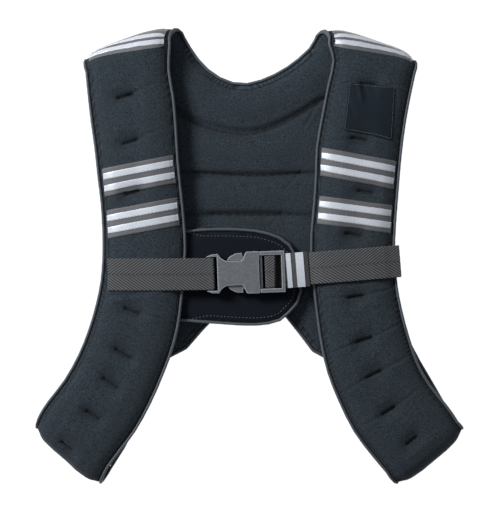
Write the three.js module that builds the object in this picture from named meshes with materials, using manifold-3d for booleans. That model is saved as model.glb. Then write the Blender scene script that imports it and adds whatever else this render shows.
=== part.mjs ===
// Weighted vest lying on its back, front up, with its chest buckle fastened.
// Millimetres. +X is the viewer's right, +Y points to the shoulders, +Z is up.
// The origin is the middle of the vest, at the height that it rests on.

import * as THREE from 'three';
import * as BufferGeometryUtils from 'three/addons/utils/BufferGeometryUtils.js';
import Module from 'manifold-3d';

const wasm = await Module();
wasm.setup();

// Overall outline, measured to the middle of the edge binding
const halfSpan = 214;
const halfLength = 229;

// Padding and layers
const padThickness = 16;
const padEdgeThickness = 3;
const padRounding = 22;
const layerPitch = 23;
const backHeight = padThickness / 2;
const frontHeight = backHeight + layerPitch;
const foldSteps = 6;
const clearance = 0.3;

// Edge binding
const bindingWidth = 5;
const bindingHeight = 4.6;
const bindingGap = 0.5;
const edgeInset = bindingWidth / 2 + bindingGap;
const seamGap = 0.5;

// Quilting and bar tacks
const quiltDepth = 6;
const quiltWidth = 10;
const tackDepth = 2.6;
const tackRadius = 8;

// Ribbon, stripes and label on the straps
const tapeWidth = 29;
const tapeThickness = 0.6;
const stripeWidth = 7.2;
const stripeSpacing = 12;
const stripeThickness = 0.4;
const surfaceGap = 0.35;
const labelThickness = 0.7;
const labelGap = 0.6;

// Guard pad behind the buckle, seated under the inner edge of the left strap
const guardThickness = 5;
const guardEdgeThickness = 3.6;
const guardRounding = 5;
const guardSeat = 7;

// Webbing and its keeper
const webbingWidth = 32;
const webbingThickness = 1.6;
const layerGap = 0.4;
const loopTurnBack = 17;
const tailOverhang = 10;
const keeperThickness = 1;
const keeperLength = 22.8;
const keeperGap = 0.9;
const keeperLead = 1.4;
const tailDrop = 1.5;
const webbingStep = 6;
const touchReach = 4;
const touchStep = 2;
const keeperStripes = [[0.8, 4.8], [10.3, 8]];

// Side-release buckle, with its middle on the belt line
const buckleX = -11;
const buckleThickness = 11.5;
const buckleHalfWidth = 21;
const buckleHeight = frontHeight + 2.6;
const buckleTop = buckleHeight + buckleThickness / 2;
const pocketThickness = 6;
const pocketStart = -0.595 * buckleHalfWidth;
const collarStart = 5;
const collarWall = 2.2;
const prongThickness = pocketThickness - 2 * clearance;
const loopBar = { x: -buckleHalfWidth - 9, length: 4.5, thickness: 3 };
const frameStart = buckleHalfWidth + 1.1;
const frameEnd = frameStart + 24.9;
const frameWall = 2.4;
const wallDrop = 2.8;
const railWidth = 4;
const railThickness = 7.3;
const lockBar = { x: frameStart + 6.9, length: 7, thickness: 1.8 };
const loopBarLift = 0.9;
const webbingLift = 0.4;
const endBar = { length: 3.5, thickness: 2.1 };

// The strap tables give the middle of the binding in shares of halfSpan and halfLength,
// a row for each section from the shoulder down: [outerX, outerY, innerX, innerY].
const leftStrapRows = [
  [0.752, 0.803, 0.379, 0.930],
  [0.741, 0.699, 0.383, 0.812],
  [0.727, 0.585, 0.362, 0.690],
  [0.710, 0.472, 0.350, 0.559],
  [0.696, 0.349, 0.341, 0.419],
  [0.680, 0.223, 0.327, 0.288],
  [0.673, 0.105, 0.313, 0.157],
  [0.673, -0.009, 0.306, 0.026],
  [0.682, -0.114, 0.318, -0.114],
  [0.703, -0.210, 0.332, -0.253],
  [0.738, -0.323, 0.360, -0.380],
  [0.787, -0.437, 0.409, -0.507],
  [0.855, -0.550, 0.470, -0.638],
  [0.928, -0.638, 0.542, -0.760],
  [0.953, -0.672, 0.612, -0.847],
  [0.967, -0.694, 0.668, -0.917],
];
const rightStrapRows = [
  [0.766, 0.799, 0.383, 0.930],
  [0.745, 0.707, 0.404, 0.856],
  [0.724, 0.603, 0.379, 0.742],
  [0.708, 0.498, 0.353, 0.616],
  [0.696, 0.393, 0.327, 0.476],
  [0.687, 0.288, 0.322, 0.354],
  [0.678, 0.183, 0.313, 0.223],
  [0.671, 0.070, 0.301, 0.096],
  [0.673, -0.026, 0.301, -0.017],
  [0.682, -0.131, 0.313, -0.140],
  [0.703, -0.236, 0.327, -0.253],
  [0.738, -0.358, 0.348, -0.384],
  [0.780, -0.472, 0.379, -0.507],
  [0.841, -0.572, 0.430, -0.629],
  [0.916, -0.659, 0.500, -0.760],
  [0.953, -0.707, 0.579, -0.860],
  [0.967, -0.729, 0.650, -0.939],
];

// Crest of each fold, the section where the fold ends on the back layer, and the
// shoulder seam where the strap meets the back panel, in the same columns.
const leftFolds = {
  shoulderCrest: [0.761, 0.860, 0.357, 0.992],
  shoulderBack: [0.729, 0.823, 0.313, 0.960],
  shoulderSeam: [0.701, 0.783, 0.289, 0.921],
  endCrest: [0.991, -0.755, 0.702, -0.990],
};
const rightFolds = {
  shoulderCrest: [0.773, 0.854, 0.362, 0.985],
  shoulderBack: [0.739, 0.819, 0.317, 0.947],
  shoulderSeam: [0.710, 0.779, 0.294, 0.912],
  endCrest: [0.996, -0.759, 0.700, -0.990],
};

// Side wings under the straps, from the end fold to the flare of the back panel
const leftWingRows = [
  [0.961, -0.721, 0.658, -0.929],
  [0.914, -0.655, 0.601, -0.845],
  [0.857, -0.562, 0.530, -0.717],
  [0.796, -0.465, 0.488, -0.602],
  [0.744, -0.372, 0.459, -0.505],
  [0.701, -0.288, 0.431, -0.465],
  [0.668, -0.221, 0.388, -0.443],
];
const rightWingRows = [
  [0.961, -0.730, 0.682, -0.929],
  [0.914, -0.655, 0.611, -0.836],
  [0.857, -0.562, 0.530, -0.713],
  [0.796, -0.465, 0.488, -0.602],
  [0.744, -0.372, 0.459, -0.513],
  [0.701, -0.288, 0.436, -0.474],
  [0.668, -0.221, 0.393, -0.456],
];

// Back panel curves, points [x, y] in shares of halfSpan and halfLength
const neckline = [
  [-0.289, 0.921], [-0.239, 0.854], [-0.175, 0.799], [-0.095, 0.761], [-0.014, 0.752],
  [0.066, 0.770], [0.147, 0.805], [0.227, 0.854], [0.294, 0.912],
];
const arch = [
  [-0.388, -0.443], [-0.350, -0.443], [-0.308, -0.407], [-0.251, -0.345],
  [-0.185, -0.279], [-0.099, -0.199], [0.005, -0.150], [0.109, -0.195],
  [0.194, -0.274], [0.260, -0.354], [0.327, -0.434], [0.360, -0.456], [0.393, -0.456],
];
const leftSide = [
  [-0.701, 0.783], [-0.649, 0.699], [-0.597, 0.593], [-0.559, 0.469], [-0.538, 0.314],
  [-0.540, 0.159], [-0.568, 0.018], [-0.616, -0.115], [-0.668, -0.221],
];
const rightSide = [
  [0.710, 0.779], [0.649, 0.699], [0.597, 0.593], [0.559, 0.469], [0.538, 0.314],
  [0.540, 0.159], [0.568, 0.018], [0.616, -0.115], [0.668, -0.221],
];

// Quilting seams across the back: share of the side edge where the row meets it,
// the middle of the seam as [x, y] shares, and the half length of the stitched
// groove as a share of halfSpan.
const quiltRows = [
  {
    side: 0.17,
    groove: 1,
    middle: [
      [-0.398, 0.673], [-0.334, 0.634], [-0.259, 0.598], [-0.177, 0.571], [-0.095, 0.552],
      [-0.014, 0.544], [0.068, 0.555], [0.150, 0.586], [0.231, 0.624], [0.286, 0.655],
      [0.356, 0.698], [0.412, 0.730],
    ],
  },
  { side: 0.42, groove: 0.25, middle: [[-0.4, 0.358], [0, 0.355], [0.4, 0.361]] },
  { side: 0.6, groove: 0.23, middle: [[-0.4, 0.183], [0, 0.183], [0.4, 0.183]] },
];

// Bar tacks on the straps: [x, y] in shares of halfSpan and halfLength
const tacks = [
  [-0.577, 0.694], [-0.554, 0.498], [-0.547, 0.275], [-0.547, -0.240], [-0.584, -0.426],
  [-0.647, -0.552], [-0.729, -0.694], [-0.855, -0.834],
  [0.556, 0.747], [0.519, 0.507], [0.542, 0.279], [0.486, 0.092], [0.500, -0.179],
  [0.537, -0.367], [0.584, -0.515], [0.652, -0.675], [0.759, -0.806],
];

// Line of the chest belt: [x, y, turn], the last one its slope across the webbing
const beltLine = [
  [-0.664, -0.081, 0], [-0.303, -0.081, 0], [-0.200, -0.079, 0.037], [0.154, -0.067, 0.037],
  [0.200, -0.063, 0.08], [0.280, -0.055, 0.08], [0.720, -0.021, 0.08],
];

// Chest ribbons: height of the ribbon's middle line at the outer and inner edge of
// the strap, in shares of halfLength
const tapeOuterX = 0.687;
const tapeInnerX = 0.355;
const chestTapes = [
  { name: 'chest_tape_upper_left', side: -1, outer: 0.318, inner: 0.378 },
  { name: 'chest_tape_lower_left', side: -1, outer: 0.133, inner: 0.190 },
  { name: 'chest_tape_upper_right', side: 1, outer: 0.351, inner: 0.409 },
  { name: 'chest_tape_lower_right', side: 1, outer: 0.157, inner: 0.198 },
];

// Shoulder ribbons: angles over the fold where the ribbon and its stripes start and end
const shoulderTape = [12, 100];
const shoulderStripes = [[24, 42], [52, 70]];

// Label patch corners on the right strap, [x, y] in shares of halfSpan and halfLength
const labelCorners = {
  topLeft: [0.463, 0.758],
  topRight: [0.680, 0.740],
  bottomLeft: [0.439, 0.546],
  bottomRight: [0.668, 0.502],
};

// Guard pad outline from its upper left corner round to its lower left corner,
// [x, y] in shares of halfSpan and halfLength
const guardOutline = [
  [-0.353, 0.094], [-0.196, 0.109], [0.009, 0.105], [0.093, 0.090], [0.159, 0.063],
  [0.203, 0.020], [0.222, -0.055], [0.236, -0.140], [0.222, -0.198], [0.184, -0.240],
  [0.140, -0.275], [0.040, -0.293], [-0.173, -0.284], [-0.353, -0.271],
];

// Buckle housing seen from the front, half of its outline from the ear to the collar,
// [x, y] in shares of buckleHalfWidth
const housingOutline = [
  [-0.98, 0.81], [-1.54, 0.80], [-1.25, 0.92], [-0.93, 0.94], [-0.79, 0.74],
  [-0.58, 0.60], [0.15, 0.58], [0.24, 0.64], [0.39, 0.97], [0.47, 1.0], [1.02, 1.0],
];

// One prong head of the buckle, [x, y] in shares of buckleHalfWidth
const prongOutline = [
  [1.1, 0.58], [0.46, 0.58], [-0.52, 0.62], [-0.38, 0.78], [-0.10, 0.93], [0.22, 0.95],
  [0.24, 0.74], [0.44, 0.72], [0.52, 0.84], [1.1, 0.84],
];

const materials = {
  neoprene: makeMaterial(0x272e35, 0.92),
  binding: makeMaterial(0x2c333a, 0.8),
  tape: makeMaterial(0x4a4a4c, 0.8),
  stripe: makeMaterial(0xdadee6, 0.45),
  webbing: makeMaterial(0x4b4a4a, 0.85),
  plastic: makeMaterial(0x606368, 0.5),
  label: makeMaterial(0x14171b, 0.7),
};

const vest = new THREE.Group();

function makeMaterial(color, roughness) {
  return new THREE.MeshStandardMaterial({ color, roughness, metalness: 0 });
}

// Adds one closed mesh, turned so that its faces point out
function addPiece(name, geometry, material) {
  const plain = geometry.index ? geometry : BufferGeometryUtils.mergeVertices(geometry);
  if (enclosedVolume(plain) < 0) {
    const corners = plain.index.array;
    for (let i = 0; i < corners.length; i += 3) {
      const swap = corners[i];
      corners[i] = corners[i + 1];
      corners[i + 1] = swap;
    }
  }
  plain.computeVertexNormals();
  const mesh = new THREE.Mesh(plain, material);
  mesh.name = name;
  vest.add(mesh);
}

function enclosedVolume(geometry) {
  const position = geometry.attributes.position;
  const corners = geometry.index.array;
  const a = new THREE.Vector3();
  const b = new THREE.Vector3();
  const c = new THREE.Vector3();
  let volume = 0;
  for (let i = 0; i < corners.length; i += 3) {
    a.fromBufferAttribute(position, corners[i]);
    b.fromBufferAttribute(position, corners[i + 1]);
    c.fromBufferAttribute(position, corners[i + 2]);
    volume += a.dot(b.cross(c)) / 6;
  }
  return volume;
}

function meshFrom(points, triangles) {
  const geometry = new THREE.BufferGeometry();
  geometry.setAttribute(
    'position',
    new THREE.Float32BufferAttribute(points.flatMap((p) => [p.x, p.y, p.z]), 3),
  );
  geometry.setIndex(triangles.flat());
  return geometry;
}

// Closed plate between two grids of points with equal rows and columns
function plateBetween(upper, lower) {
  const rows = upper.length;
  const columns = upper[0].length;
  const at = (layer, row, column) => (layer * rows + row) * columns + column;
  const triangles = [];
  const quad = (a, b, c, d) => triangles.push([a, b, c], [a, c, d]);
  for (let row = 0; row + 1 < rows; row += 1) {
    for (let column = 0; column + 1 < columns; column += 1) {
      quad(at(0, row, column), at(0, row, column + 1), at(0, row + 1, column + 1), at(0, row + 1, column));
      quad(at(1, row, column), at(1, row + 1, column), at(1, row + 1, column + 1), at(1, row, column + 1));
    }
    quad(at(0, row, 0), at(0, row + 1, 0), at(1, row + 1, 0), at(1, row, 0));
    const last = columns - 1;
    quad(at(0, row, last), at(1, row, last), at(1, row + 1, last), at(0, row + 1, last));
  }
  for (let column = 0; column + 1 < columns; column += 1) {
    quad(at(0, 0, column), at(1, 0, column), at(1, 0, column + 1), at(0, 0, column + 1));
    const last = rows - 1;
    quad(at(0, last, column), at(0, last, column + 1), at(1, last, column + 1), at(1, last, column));
  }
  return meshFrom([...upper.flat(), ...lower.flat()], triangles);
}

// Bar with a fixed section along a path; each stop has a point and an outward direction
function barAlong(stops, section, closed) {
  const points = [];
  const count = stops.length;
  stops.forEach((stop, i) => {
    const before = stops[closed ? (i + count - 1) % count : Math.max(i - 1, 0)].point;
    const after = stops[closed ? (i + 1) % count : Math.min(i + 1, count - 1)].point;
    const along = after.clone().sub(before).normalize();
    const outward = stop.outward.clone().addScaledVector(along, -stop.outward.dot(along));
    outward.normalize();
    const up = along.clone().cross(outward);
    for (const [out, rise] of section) {
      points.push(stop.point.clone().addScaledVector(outward, out).addScaledVector(up, rise));
    }
  });
  const sides = section.length;
  const triangles = [];
  const spans = closed ? count : count - 1;
  for (let i = 0; i < spans; i += 1) {
    const here = i * sides;
    const next = ((i + 1) % count) * sides;
    for (let k = 0; k < sides; k += 1) {
      const k2 = (k + 1) % sides;
      triangles.push([here + k, here + k2, next + k2], [here + k, next + k2, next + k]);
    }
  }
  if (!closed) {
    for (let k = 1; k + 1 < sides; k += 1) {
      const end = (count - 1) * sides;
      triangles.push([0, k + 1, k], [end, end + k, end + k + 1]);
    }
  }
  return meshFrom(points, triangles);
}

const bindingSection = [
  [-0.5 * bindingWidth, -0.34 * bindingHeight],
  [-0.5 * bindingWidth, 0.34 * bindingHeight],
  [0.12 * bindingWidth, 0.5 * bindingHeight],
  [0.5 * bindingWidth, 0],
  [0.12 * bindingWidth, -0.5 * bindingHeight],
];

// Half the padding's thickness at a distance from the middle of the edge binding
function halfThickness(distance) {
  const share = THREE.MathUtils.clamp((distance - edgeInset) / padRounding, 0, 1);
  const rise = Math.sqrt(1 - (1 - share) ** 2);
  return (padEdgeThickness + (padThickness - padEdgeThickness) * rise) / 2;
}

// Straps and wings

const padColumns = [edgeInset, edgeInset + 0.15 * padRounding, edgeInset + 0.42 * padRounding,
  edgeInset + padRounding];

function sectionAt(row, side, height) {
  const [outerX, outerY, innerX, innerY] = row;
  return {
    outer: new THREE.Vector3(side * outerX * halfSpan, outerY * halfLength, height),
    inner: new THREE.Vector3(side * innerX * halfSpan, innerY * halfLength, height),
  };
}

function smoothSections(sections, stepsPerRow) {
  const outer = new THREE.CatmullRomCurve3(sections.map((s) => s.outer));
  const inner = new THREE.CatmullRomCurve3(sections.map((s) => s.inner));
  const steps = (sections.length - 1) * stepsPerRow;
  const smooth = [];
  for (let i = 0; i <= steps; i += 1) {
    smooth.push({ outer: outer.getPoint(i / steps), inner: inner.getPoint(i / steps) });
  }
  return smooth;
}

// Half turn from the front layer over the crest to the back layer
function foldPoint(front, crest, back, angle) {
  const middle = front.clone().add(back).multiplyScalar(0.5);
  return middle.clone()
    .addScaledVector(front.clone().sub(middle), Math.cos(angle))
    .addScaledVector(crest.clone().sub(middle), Math.sin(angle));
}

function foldSections(front, crest, back) {
  const sections = [];
  for (let i = 1; i < foldSteps; i += 1) {
    const angle = (Math.PI * i) / foldSteps;
    sections.push({
      outer: foldPoint(front.outer, crest.outer, back.outer, angle),
      inner: foldPoint(front.inner, crest.inner, back.inner, angle),
    });
  }
  return sections;
}

function strapSections(rows, folds, wingRows, side) {
  const middleHeight = (frontHeight + backHeight) / 2;
  const front = smoothSections(rows.map((row) => sectionAt(row, side, frontHeight)), 2);
  const seam = sectionAt(folds.shoulderSeam, side, backHeight);
  const back = sectionAt(folds.shoulderBack, side, backHeight);
  const shoulderCrest = sectionAt(folds.shoulderCrest, side, middleHeight);
  const endCrest = sectionAt(folds.endCrest, side, middleHeight);
  const end = sectionAt(wingRows[0], side, backHeight);
  const shoulderFold = foldSections(front[0], shoulderCrest, back).reverse();
  const endFold = foldSections(front.at(-1), endCrest, end);
  return [seam, back, ...shoulderFold, ...front, ...endFold, end];
}

function wingSections(rows, side) {
  return rows.map((row) => sectionAt(row, side, backHeight));
}

// How squarely a section meets one of its edges, from 0 to 1
function squareness(sections, i, edge) {
  const before = sections[Math.max(i - 1, 0)][edge];
  const after = sections[Math.min(i + 1, sections.length - 1)][edge];
  const along = after.clone().sub(before).normalize();
  const across = sections[i].inner.clone().sub(sections[i].outer).normalize();
  return across.cross(along).length();
}

// Cells of a padded strip: a middle point, a normal and half the thickness, for
// each section and each column across it. Faces that show carry the bar tacks.
function stripCells(sections, side) {
  return sections.map((section, i) => {
    const before = sections[Math.max(i - 1, 0)];
    const after = sections[Math.min(i + 1, sections.length - 1)];
    const along = after.outer.clone().add(after.inner).sub(before.outer).sub(before.inner);
    const across = section.inner.clone().sub(section.outer);
    const width = across.length();
    const normal = along.cross(across).multiplyScalar(-side).normalize();
    if (liesFlat(section)) normal.set(0, 0, Math.sign(normal.z));
    const outerPart = padColumns.map((d) => d / squareness(sections, i, 'outer'));
    const innerPart = padColumns.map((d) => width - d / squareness(sections, i, 'inner'));
    const middle = (outerPart.at(-1) + innerPart.at(-1)) / 2;
    const places = [...outerPart, middle, ...innerPart.reverse()];
    const depths = [...padColumns, padColumns.at(-1), ...[...padColumns].reverse()];
    return places.map((place, k) => {
      const point = section.outer.clone().addScaledVector(across, place / width);
      return { point, normal, half: halfThickness(depths[k]), dent: tackDent(point) };
    });
  });
}

function liesFlat(section) {
  return [backHeight, frontHeight].some((height) => Math.abs(section.outer.z - height) < 0.001);
}

function tackDent(point) {
  if (point.z < (frontHeight + backHeight) / 2) return 0;
  let dent = 0;
  for (const [x, y] of tacks) {
    const distance = Math.hypot(point.x - x * halfSpan, point.y - y * halfLength);
    dent = Math.max(dent, tackDepth * Math.exp(-((distance / tackRadius) ** 2)));
  }
  return dent;
}

function faceOf(cells, lift) {
  return cells.map((row) => row.map((cell) => facePoint(cell, lift)));
}

function facePoint(cell, lift) {
  return cell.point.clone().addScaledVector(cell.normal, cell.half - cell.dent + lift);
}

function rearOf(cells) {
  return cells.map((row) => row.map((cell) => (
    cell.point.clone().addScaledVector(cell.normal, -cell.half)
  )));
}

// Draws the first row of a seam back by the clearance
function drawBack(cells) {
  const [first, second] = cells;
  first.forEach((cell, k) => {
    const inward = second[k].point.clone().sub(cell.point).normalize();
    cell.point.addScaledVector(inward, clearance);
  });
}

const straps = {};
for (const side of [-1, 1]) {
  const isLeft = side < 0;
  const word = isLeft ? 'left' : 'right';
  const wingRows = isLeft ? leftWingRows : rightWingRows;
  const rows = isLeft ? leftStrapRows : rightStrapRows;
  const folds = isLeft ? leftFolds : rightFolds;
  const sections = strapSections(rows, folds, wingRows, side);
  const wing = wingSections(wingRows, side);
  const cells = stripCells(sections, side);
  const wingCells = stripCells(wing, -side);
  drawBack(wingCells);
  straps[word] = { sections, wing, cells, frontStart: 1 + foldSteps };
  addPiece(`front_strap_${word}`, plateBetween(faceOf(cells, 0), rearOf(cells)), materials.neoprene);
  addPiece(
    `side_wing_${word}`,
    plateBetween(faceOf(wingCells, 0), rearOf(wingCells)),
    materials.neoprene,
  );
}

// Back panel

function curveOf(points) {
  return new THREE.CatmullRomCurve3(
    points.map(([x, y]) => new THREE.Vector3(x * halfSpan, y * halfLength, backHeight)),
  );
}

const necklineCurve = curveOf(neckline);
const archCurve = curveOf(arch);
const leftSideCurve = curveOf(leftSide);
const rightSideCurve = curveOf(rightSide);
const middleColumns = 10;
const endColumnCount = 2 * padColumns.length + 1;

// One row of the panel: ends on the two side edges, at a share of their length, and
// a curve between them that starts and ends under the inner edges of the straps
function panelRow(side, middle) {
  const leftEnd = leftSideCurve.getPointAt(side);
  const rightEnd = rightSideCurve.getPointAt(side);
  const points = [
    ...endColumns(leftEnd, middle[0], leftSideCurve.getTangentAt(side)),
    ...middle.slice(1, -1),
    ...endColumns(rightEnd, middle.at(-1), rightSideCurve.getTangentAt(side)).reverse(),
  ];
  return { side, leftEnd, rightEnd, points };
}

// Columns from a side edge to the seam point. They close up at the seam too where the
// panel is wide enough there, and are evenly spread up to it where it is narrower.
function endColumns(edgePoint, seamPoint, edgeTangent) {
  const across = seamPoint.clone().sub(edgePoint);
  const width = across.length();
  const square = across.clone().cross(edgeTangent).length() / width;
  const near = padColumns.map((d) => d / square);
  const nearEnd = near.at(-1);
  const closing = padColumns.map((d) => width - d).reverse();
  const spread = padColumns.map((d, i) => THREE.MathUtils.lerp(
    nearEnd,
    width - edgeInset,
    (i + 2) / (padColumns.length + 1),
  ));
  const far = closing[0] > nearEnd ? closing : spread;
  const places = [...near, (nearEnd + far[0]) / 2, ...far];
  return places.map((place) => edgePoint.clone().addScaledVector(across, place / width));
}

function samples(curve, count) {
  const points = [];
  for (let i = 0; i <= count; i += 1) {
    points.push(curve.getPointAt(i / count));
  }
  return points;
}

function shifted(curve, count, distance, turn) {
  return samples(curve, count).map((point, i) => {
    const along = curve.getTangentAt(i / count);
    return new THREE.Vector3(
      point.x + turn * along.y * distance,
      point.y - turn * along.x * distance,
      point.z,
    );
  });
}

// A row between two others, at a share of the way for each column, whose ends
// follow the side edges
function blend(rowA, rowB, shares) {
  const side = THREE.MathUtils.lerp(rowA.side, rowB.side, shares[0]);
  const leftEnd = leftSideCurve.getPointAt(side);
  const rightEnd = rightSideCurve.getPointAt(side);
  const leftDrift = leftEnd.clone().sub(rowA.leftEnd.clone().lerp(rowB.leftEnd, shares[0]));
  const rightDrift = rightEnd.clone().sub(rowA.rightEnd.clone().lerp(rowB.rightEnd, shares.at(-1)));
  const count = rowA.points.length;
  const points = rowA.points.map((point, i) => {
    const leftPull = Math.max(1 - i / (endColumnCount - 1), 0);
    const rightPull = Math.max(1 - (count - 1 - i) / (endColumnCount - 1), 0);
    return point.clone().lerp(rowB.points[i], shares[i])
      .addScaledVector(leftDrift, leftPull)
      .addScaledVector(rightDrift, rightPull);
  });
  return { side, leftEnd, rightEnd, points };
}

function between(rowA, rowB, share) {
  return blend(rowA, rowB, rowA.points.map(() => share));
}

function toward(rowA, rowB, distance) {
  return blend(rowA, rowB, rowA.points.map((point, i) => distance / point.distanceTo(rowB.points[i])));
}

function quiltRow(quilt) {
  return panelRow(quilt.side, samples(curveOf(quilt.middle), middleColumns));
}

function endRow(side, leftSection, rightSection, curve, turn, lean) {
  const middle = shifted(curve, middleColumns, edgeInset, turn);
  middle[0] = leftSection.inner.clone();
  middle[middleColumns] = rightSection.inner.clone();
  const row = panelRow(side, middle);
  row.points.forEach((point, i) => {
    const atSeam = i < endColumnCount || i >= row.points.length - endColumnCount;
    if (atSeam) point.y += lean * seamGap;
  });
  return row;
}

function panelRows() {
  const top = endRow(0, straps.left.sections[0], straps.right.sections[0], necklineCurve, 1, -1);
  const bottom = endRow(1, straps.left.wing.at(-1), straps.right.wing.at(-1), archCurve, -1, 1);
  const [yoke, second, third] = quiltRows.map(quiltRow);
  const steps = padColumns.slice(1).map((d) => d - edgeInset);
  const flank = quiltWidth / 2;
  return [
    top,
    ...steps.map((step) => toward(top, yoke, step)),
    toward(yoke, top, flank),
    yoke,
    toward(yoke, second, flank),
    between(yoke, second, 0.5),
    toward(second, yoke, flank),
    second,
    toward(second, third, flank),
    between(second, third, 0.5),
    toward(third, second, flank),
    third,
    toward(third, bottom, flank),
    between(third, bottom, 0.4),
    ...steps.map((step) => toward(bottom, third, step)).reverse(),
    bottom,
  ];
}

const freeEdges = [necklineCurve, archCurve, leftSideCurve, rightSideCurve]
  .flatMap((curve) => samples(curve, 80));

function edgeDistance(point) {
  let nearest = Infinity;
  for (const edge of freeEdges) {
    nearest = Math.min(nearest, Math.hypot(point.x - edge.x, point.y - edge.y));
  }
  return nearest;
}

function quiltDent(point) {
  let dent = 0;
  for (const quilt of quiltRows) {
    if (Math.abs(point.x) > quilt.groove * halfSpan) continue;
    const seam = samples(curveOf(quilt.middle), 100);
    const distance = Math.min(...seam.map((p) => Math.hypot(point.x - p.x, point.y - p.y)));
    const share = THREE.MathUtils.clamp(1 - distance / quiltWidth, 0, 1);
    dent = Math.max(dent, quiltDepth * share * share);
  }
  return dent;
}

const panelGrid = panelRows();
const panelUp = new THREE.Vector3(0, 0, 1);
const panelCells = panelGrid.map((row) => row.points.map((point) => {
  const half = halfThickness(edgeDistance(point));
  return { point, normal: panelUp, half, dent: Math.min(quiltDent(point), half) };
}));
addPiece('back_panel', plateBetween(faceOf(panelCells, 0), rearOf(panelCells)), materials.neoprene);

// Edge binding

function edgeStops(sections, edge) {
  const other = edge === 'outer' ? 'inner' : 'outer';
  return sections.map((section) => ({
    point: section[edge],
    outward: section[edge].clone().sub(section[other]),
  }));
}

function curveStops(curve, count, turn) {
  return samples(curve, count).map((point, i) => {
    const along = curve.getTangentAt(i / count);
    return { point, outward: new THREE.Vector3(turn * along.y, -turn * along.x, 0) };
  }).slice(1, -1);
}

// Stops along a side edge of the back panel, at the ends of its rows
function sideStops(word) {
  const curve = word === 'left' ? leftSideCurve : rightSideCurve;
  const turn = word === 'left' ? 1 : -1;
  return panelGrid.slice(1, -1).map((row) => {
    const along = curve.getTangentAt(row.side);
    return {
      point: word === 'left' ? row.leftEnd : row.rightEnd,
      outward: new THREE.Vector3(turn * along.y, -turn * along.x, 0),
    };
  });
}

for (const word of ['left', 'right']) {
  const { sections, wing } = straps[word];
  const stops = [
    ...edgeStops(sections, 'outer'),
    ...edgeStops(wing.slice(1), 'outer'),
    ...sideStops(word).reverse(),
  ];
  addPiece(`armhole_binding_${word}`, barAlong(stops, bindingSection, true), materials.binding);
}

const innerStops = [
  ...edgeStops([...straps.left.sections], 'inner').reverse(),
  ...curveStops(necklineCurve, middleColumns, -1),
  ...edgeStops([...straps.right.sections], 'inner'),
  ...edgeStops(straps.right.wing.slice(1), 'inner'),
  ...curveStops(archCurve, middleColumns, 1).reverse(),
  ...edgeStops(straps.left.wing.slice(1), 'inner').reverse(),
];
addPiece('inner_binding', barAlong(innerStops, bindingSection, true), materials.binding);

// Ribbons, stripes and label

// Cell of a strap at a fraction between two of its sections
function cellAt(cells, position, column) {
  const index = Math.min(Math.floor(position), cells.length - 2);
  const share = position - index;
  const a = cells[index][column];
  const b = cells[index + 1][column];
  return {
    point: a.point.clone().lerp(b.point, share),
    normal: a.normal.clone().lerp(b.normal, share).normalize(),
    half: THREE.MathUtils.lerp(a.half, b.half, share),
    dent: 0,
  };
}

// Where a column of the strap's front crosses a straight line in the plan
function crossing(strap, column, start, end) {
  const { cells, frontStart } = strap;
  const offset = (row) => {
    const { point } = cells[row][column];
    return (end.x - start.x) * (point.y - start.y) - (end.y - start.y) * (point.x - start.x);
  };
  for (let row = frontStart; row + 1 < cells.length; row += 1) {
    const here = offset(row);
    const next = offset(row + 1);
    if (here * next <= 0) return row + here / (here - next);
  }
  return frontStart;
}

function platesOn(cells, positions, lift, thickness) {
  const columns = cells[0].map((cell, k) => k);
  const grid = positions.map((line) => columns.map((k) => cellAt(cells, line[k], k)));
  return plateBetween(faceOf(grid, lift + thickness), faceOf(grid, lift));
}

function stripeLift() {
  return surfaceGap + tapeThickness + clearance;
}

for (const tape of chestTapes) {
  const strap = straps[tape.side < 0 ? 'left' : 'right'];
  const outer = new THREE.Vector2(tape.side * tapeOuterX * halfSpan, tape.outer * halfLength);
  const inner = new THREE.Vector2(tape.side * tapeInnerX * halfSpan, tape.inner * halfLength);
  const across = inner.clone().sub(outer).normalize();
  const upward = new THREE.Vector2(tape.side * across.y, -tape.side * across.x);
  const lineAt = (rise) => {
    const start = outer.clone().addScaledVector(upward, rise);
    const end = inner.clone().addScaledVector(upward, rise);
    return strap.cells[0].map((cell, k) => crossing(strap, k, start, end));
  };
  const band = (middle, width) => [lineAt(middle + width / 2), lineAt(middle - width / 2)];
  addPiece(
    tape.name,
    platesOn(strap.cells, band(0, tapeWidth), surfaceGap, tapeThickness),
    materials.tape,
  );
  for (const [word, middle] of [['upper', stripeSpacing / 2], ['lower', -stripeSpacing / 2]]) {
    addPiece(
      `${tape.name}_stripe_${word}`,
      platesOn(strap.cells, band(middle, stripeWidth), stripeLift(), stripeThickness),
      materials.stripe,
    );
  }
}

// Positions over the shoulder fold from one angle to another, with the sections between
function foldBand(strap, [startAngle, endAngle]) {
  const position = (angle) => strap.frontStart - (angle / 180) * foldSteps;
  const first = position(startAngle);
  const last = position(endAngle);
  const places = [first];
  for (let row = Math.ceil(first) - 1; row > last; row -= 1) places.push(row);
  places.push(last);
  return places.map((place) => strap.cells[0].map(() => place));
}

for (const word of ['left', 'right']) {
  const strap = straps[word];
  addPiece(
    `shoulder_tape_${word}`,
    platesOn(strap.cells, foldBand(strap, shoulderTape), surfaceGap, tapeThickness),
    materials.tape,
  );
  shoulderStripes.forEach((angles, i) => {
    addPiece(
      `shoulder_tape_${word}_stripe_${i === 0 ? 'lower' : 'upper'}`,
      platesOn(strap.cells, foldBand(strap, angles), stripeLift(), stripeThickness),
      materials.stripe,
    );
  });
}

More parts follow.
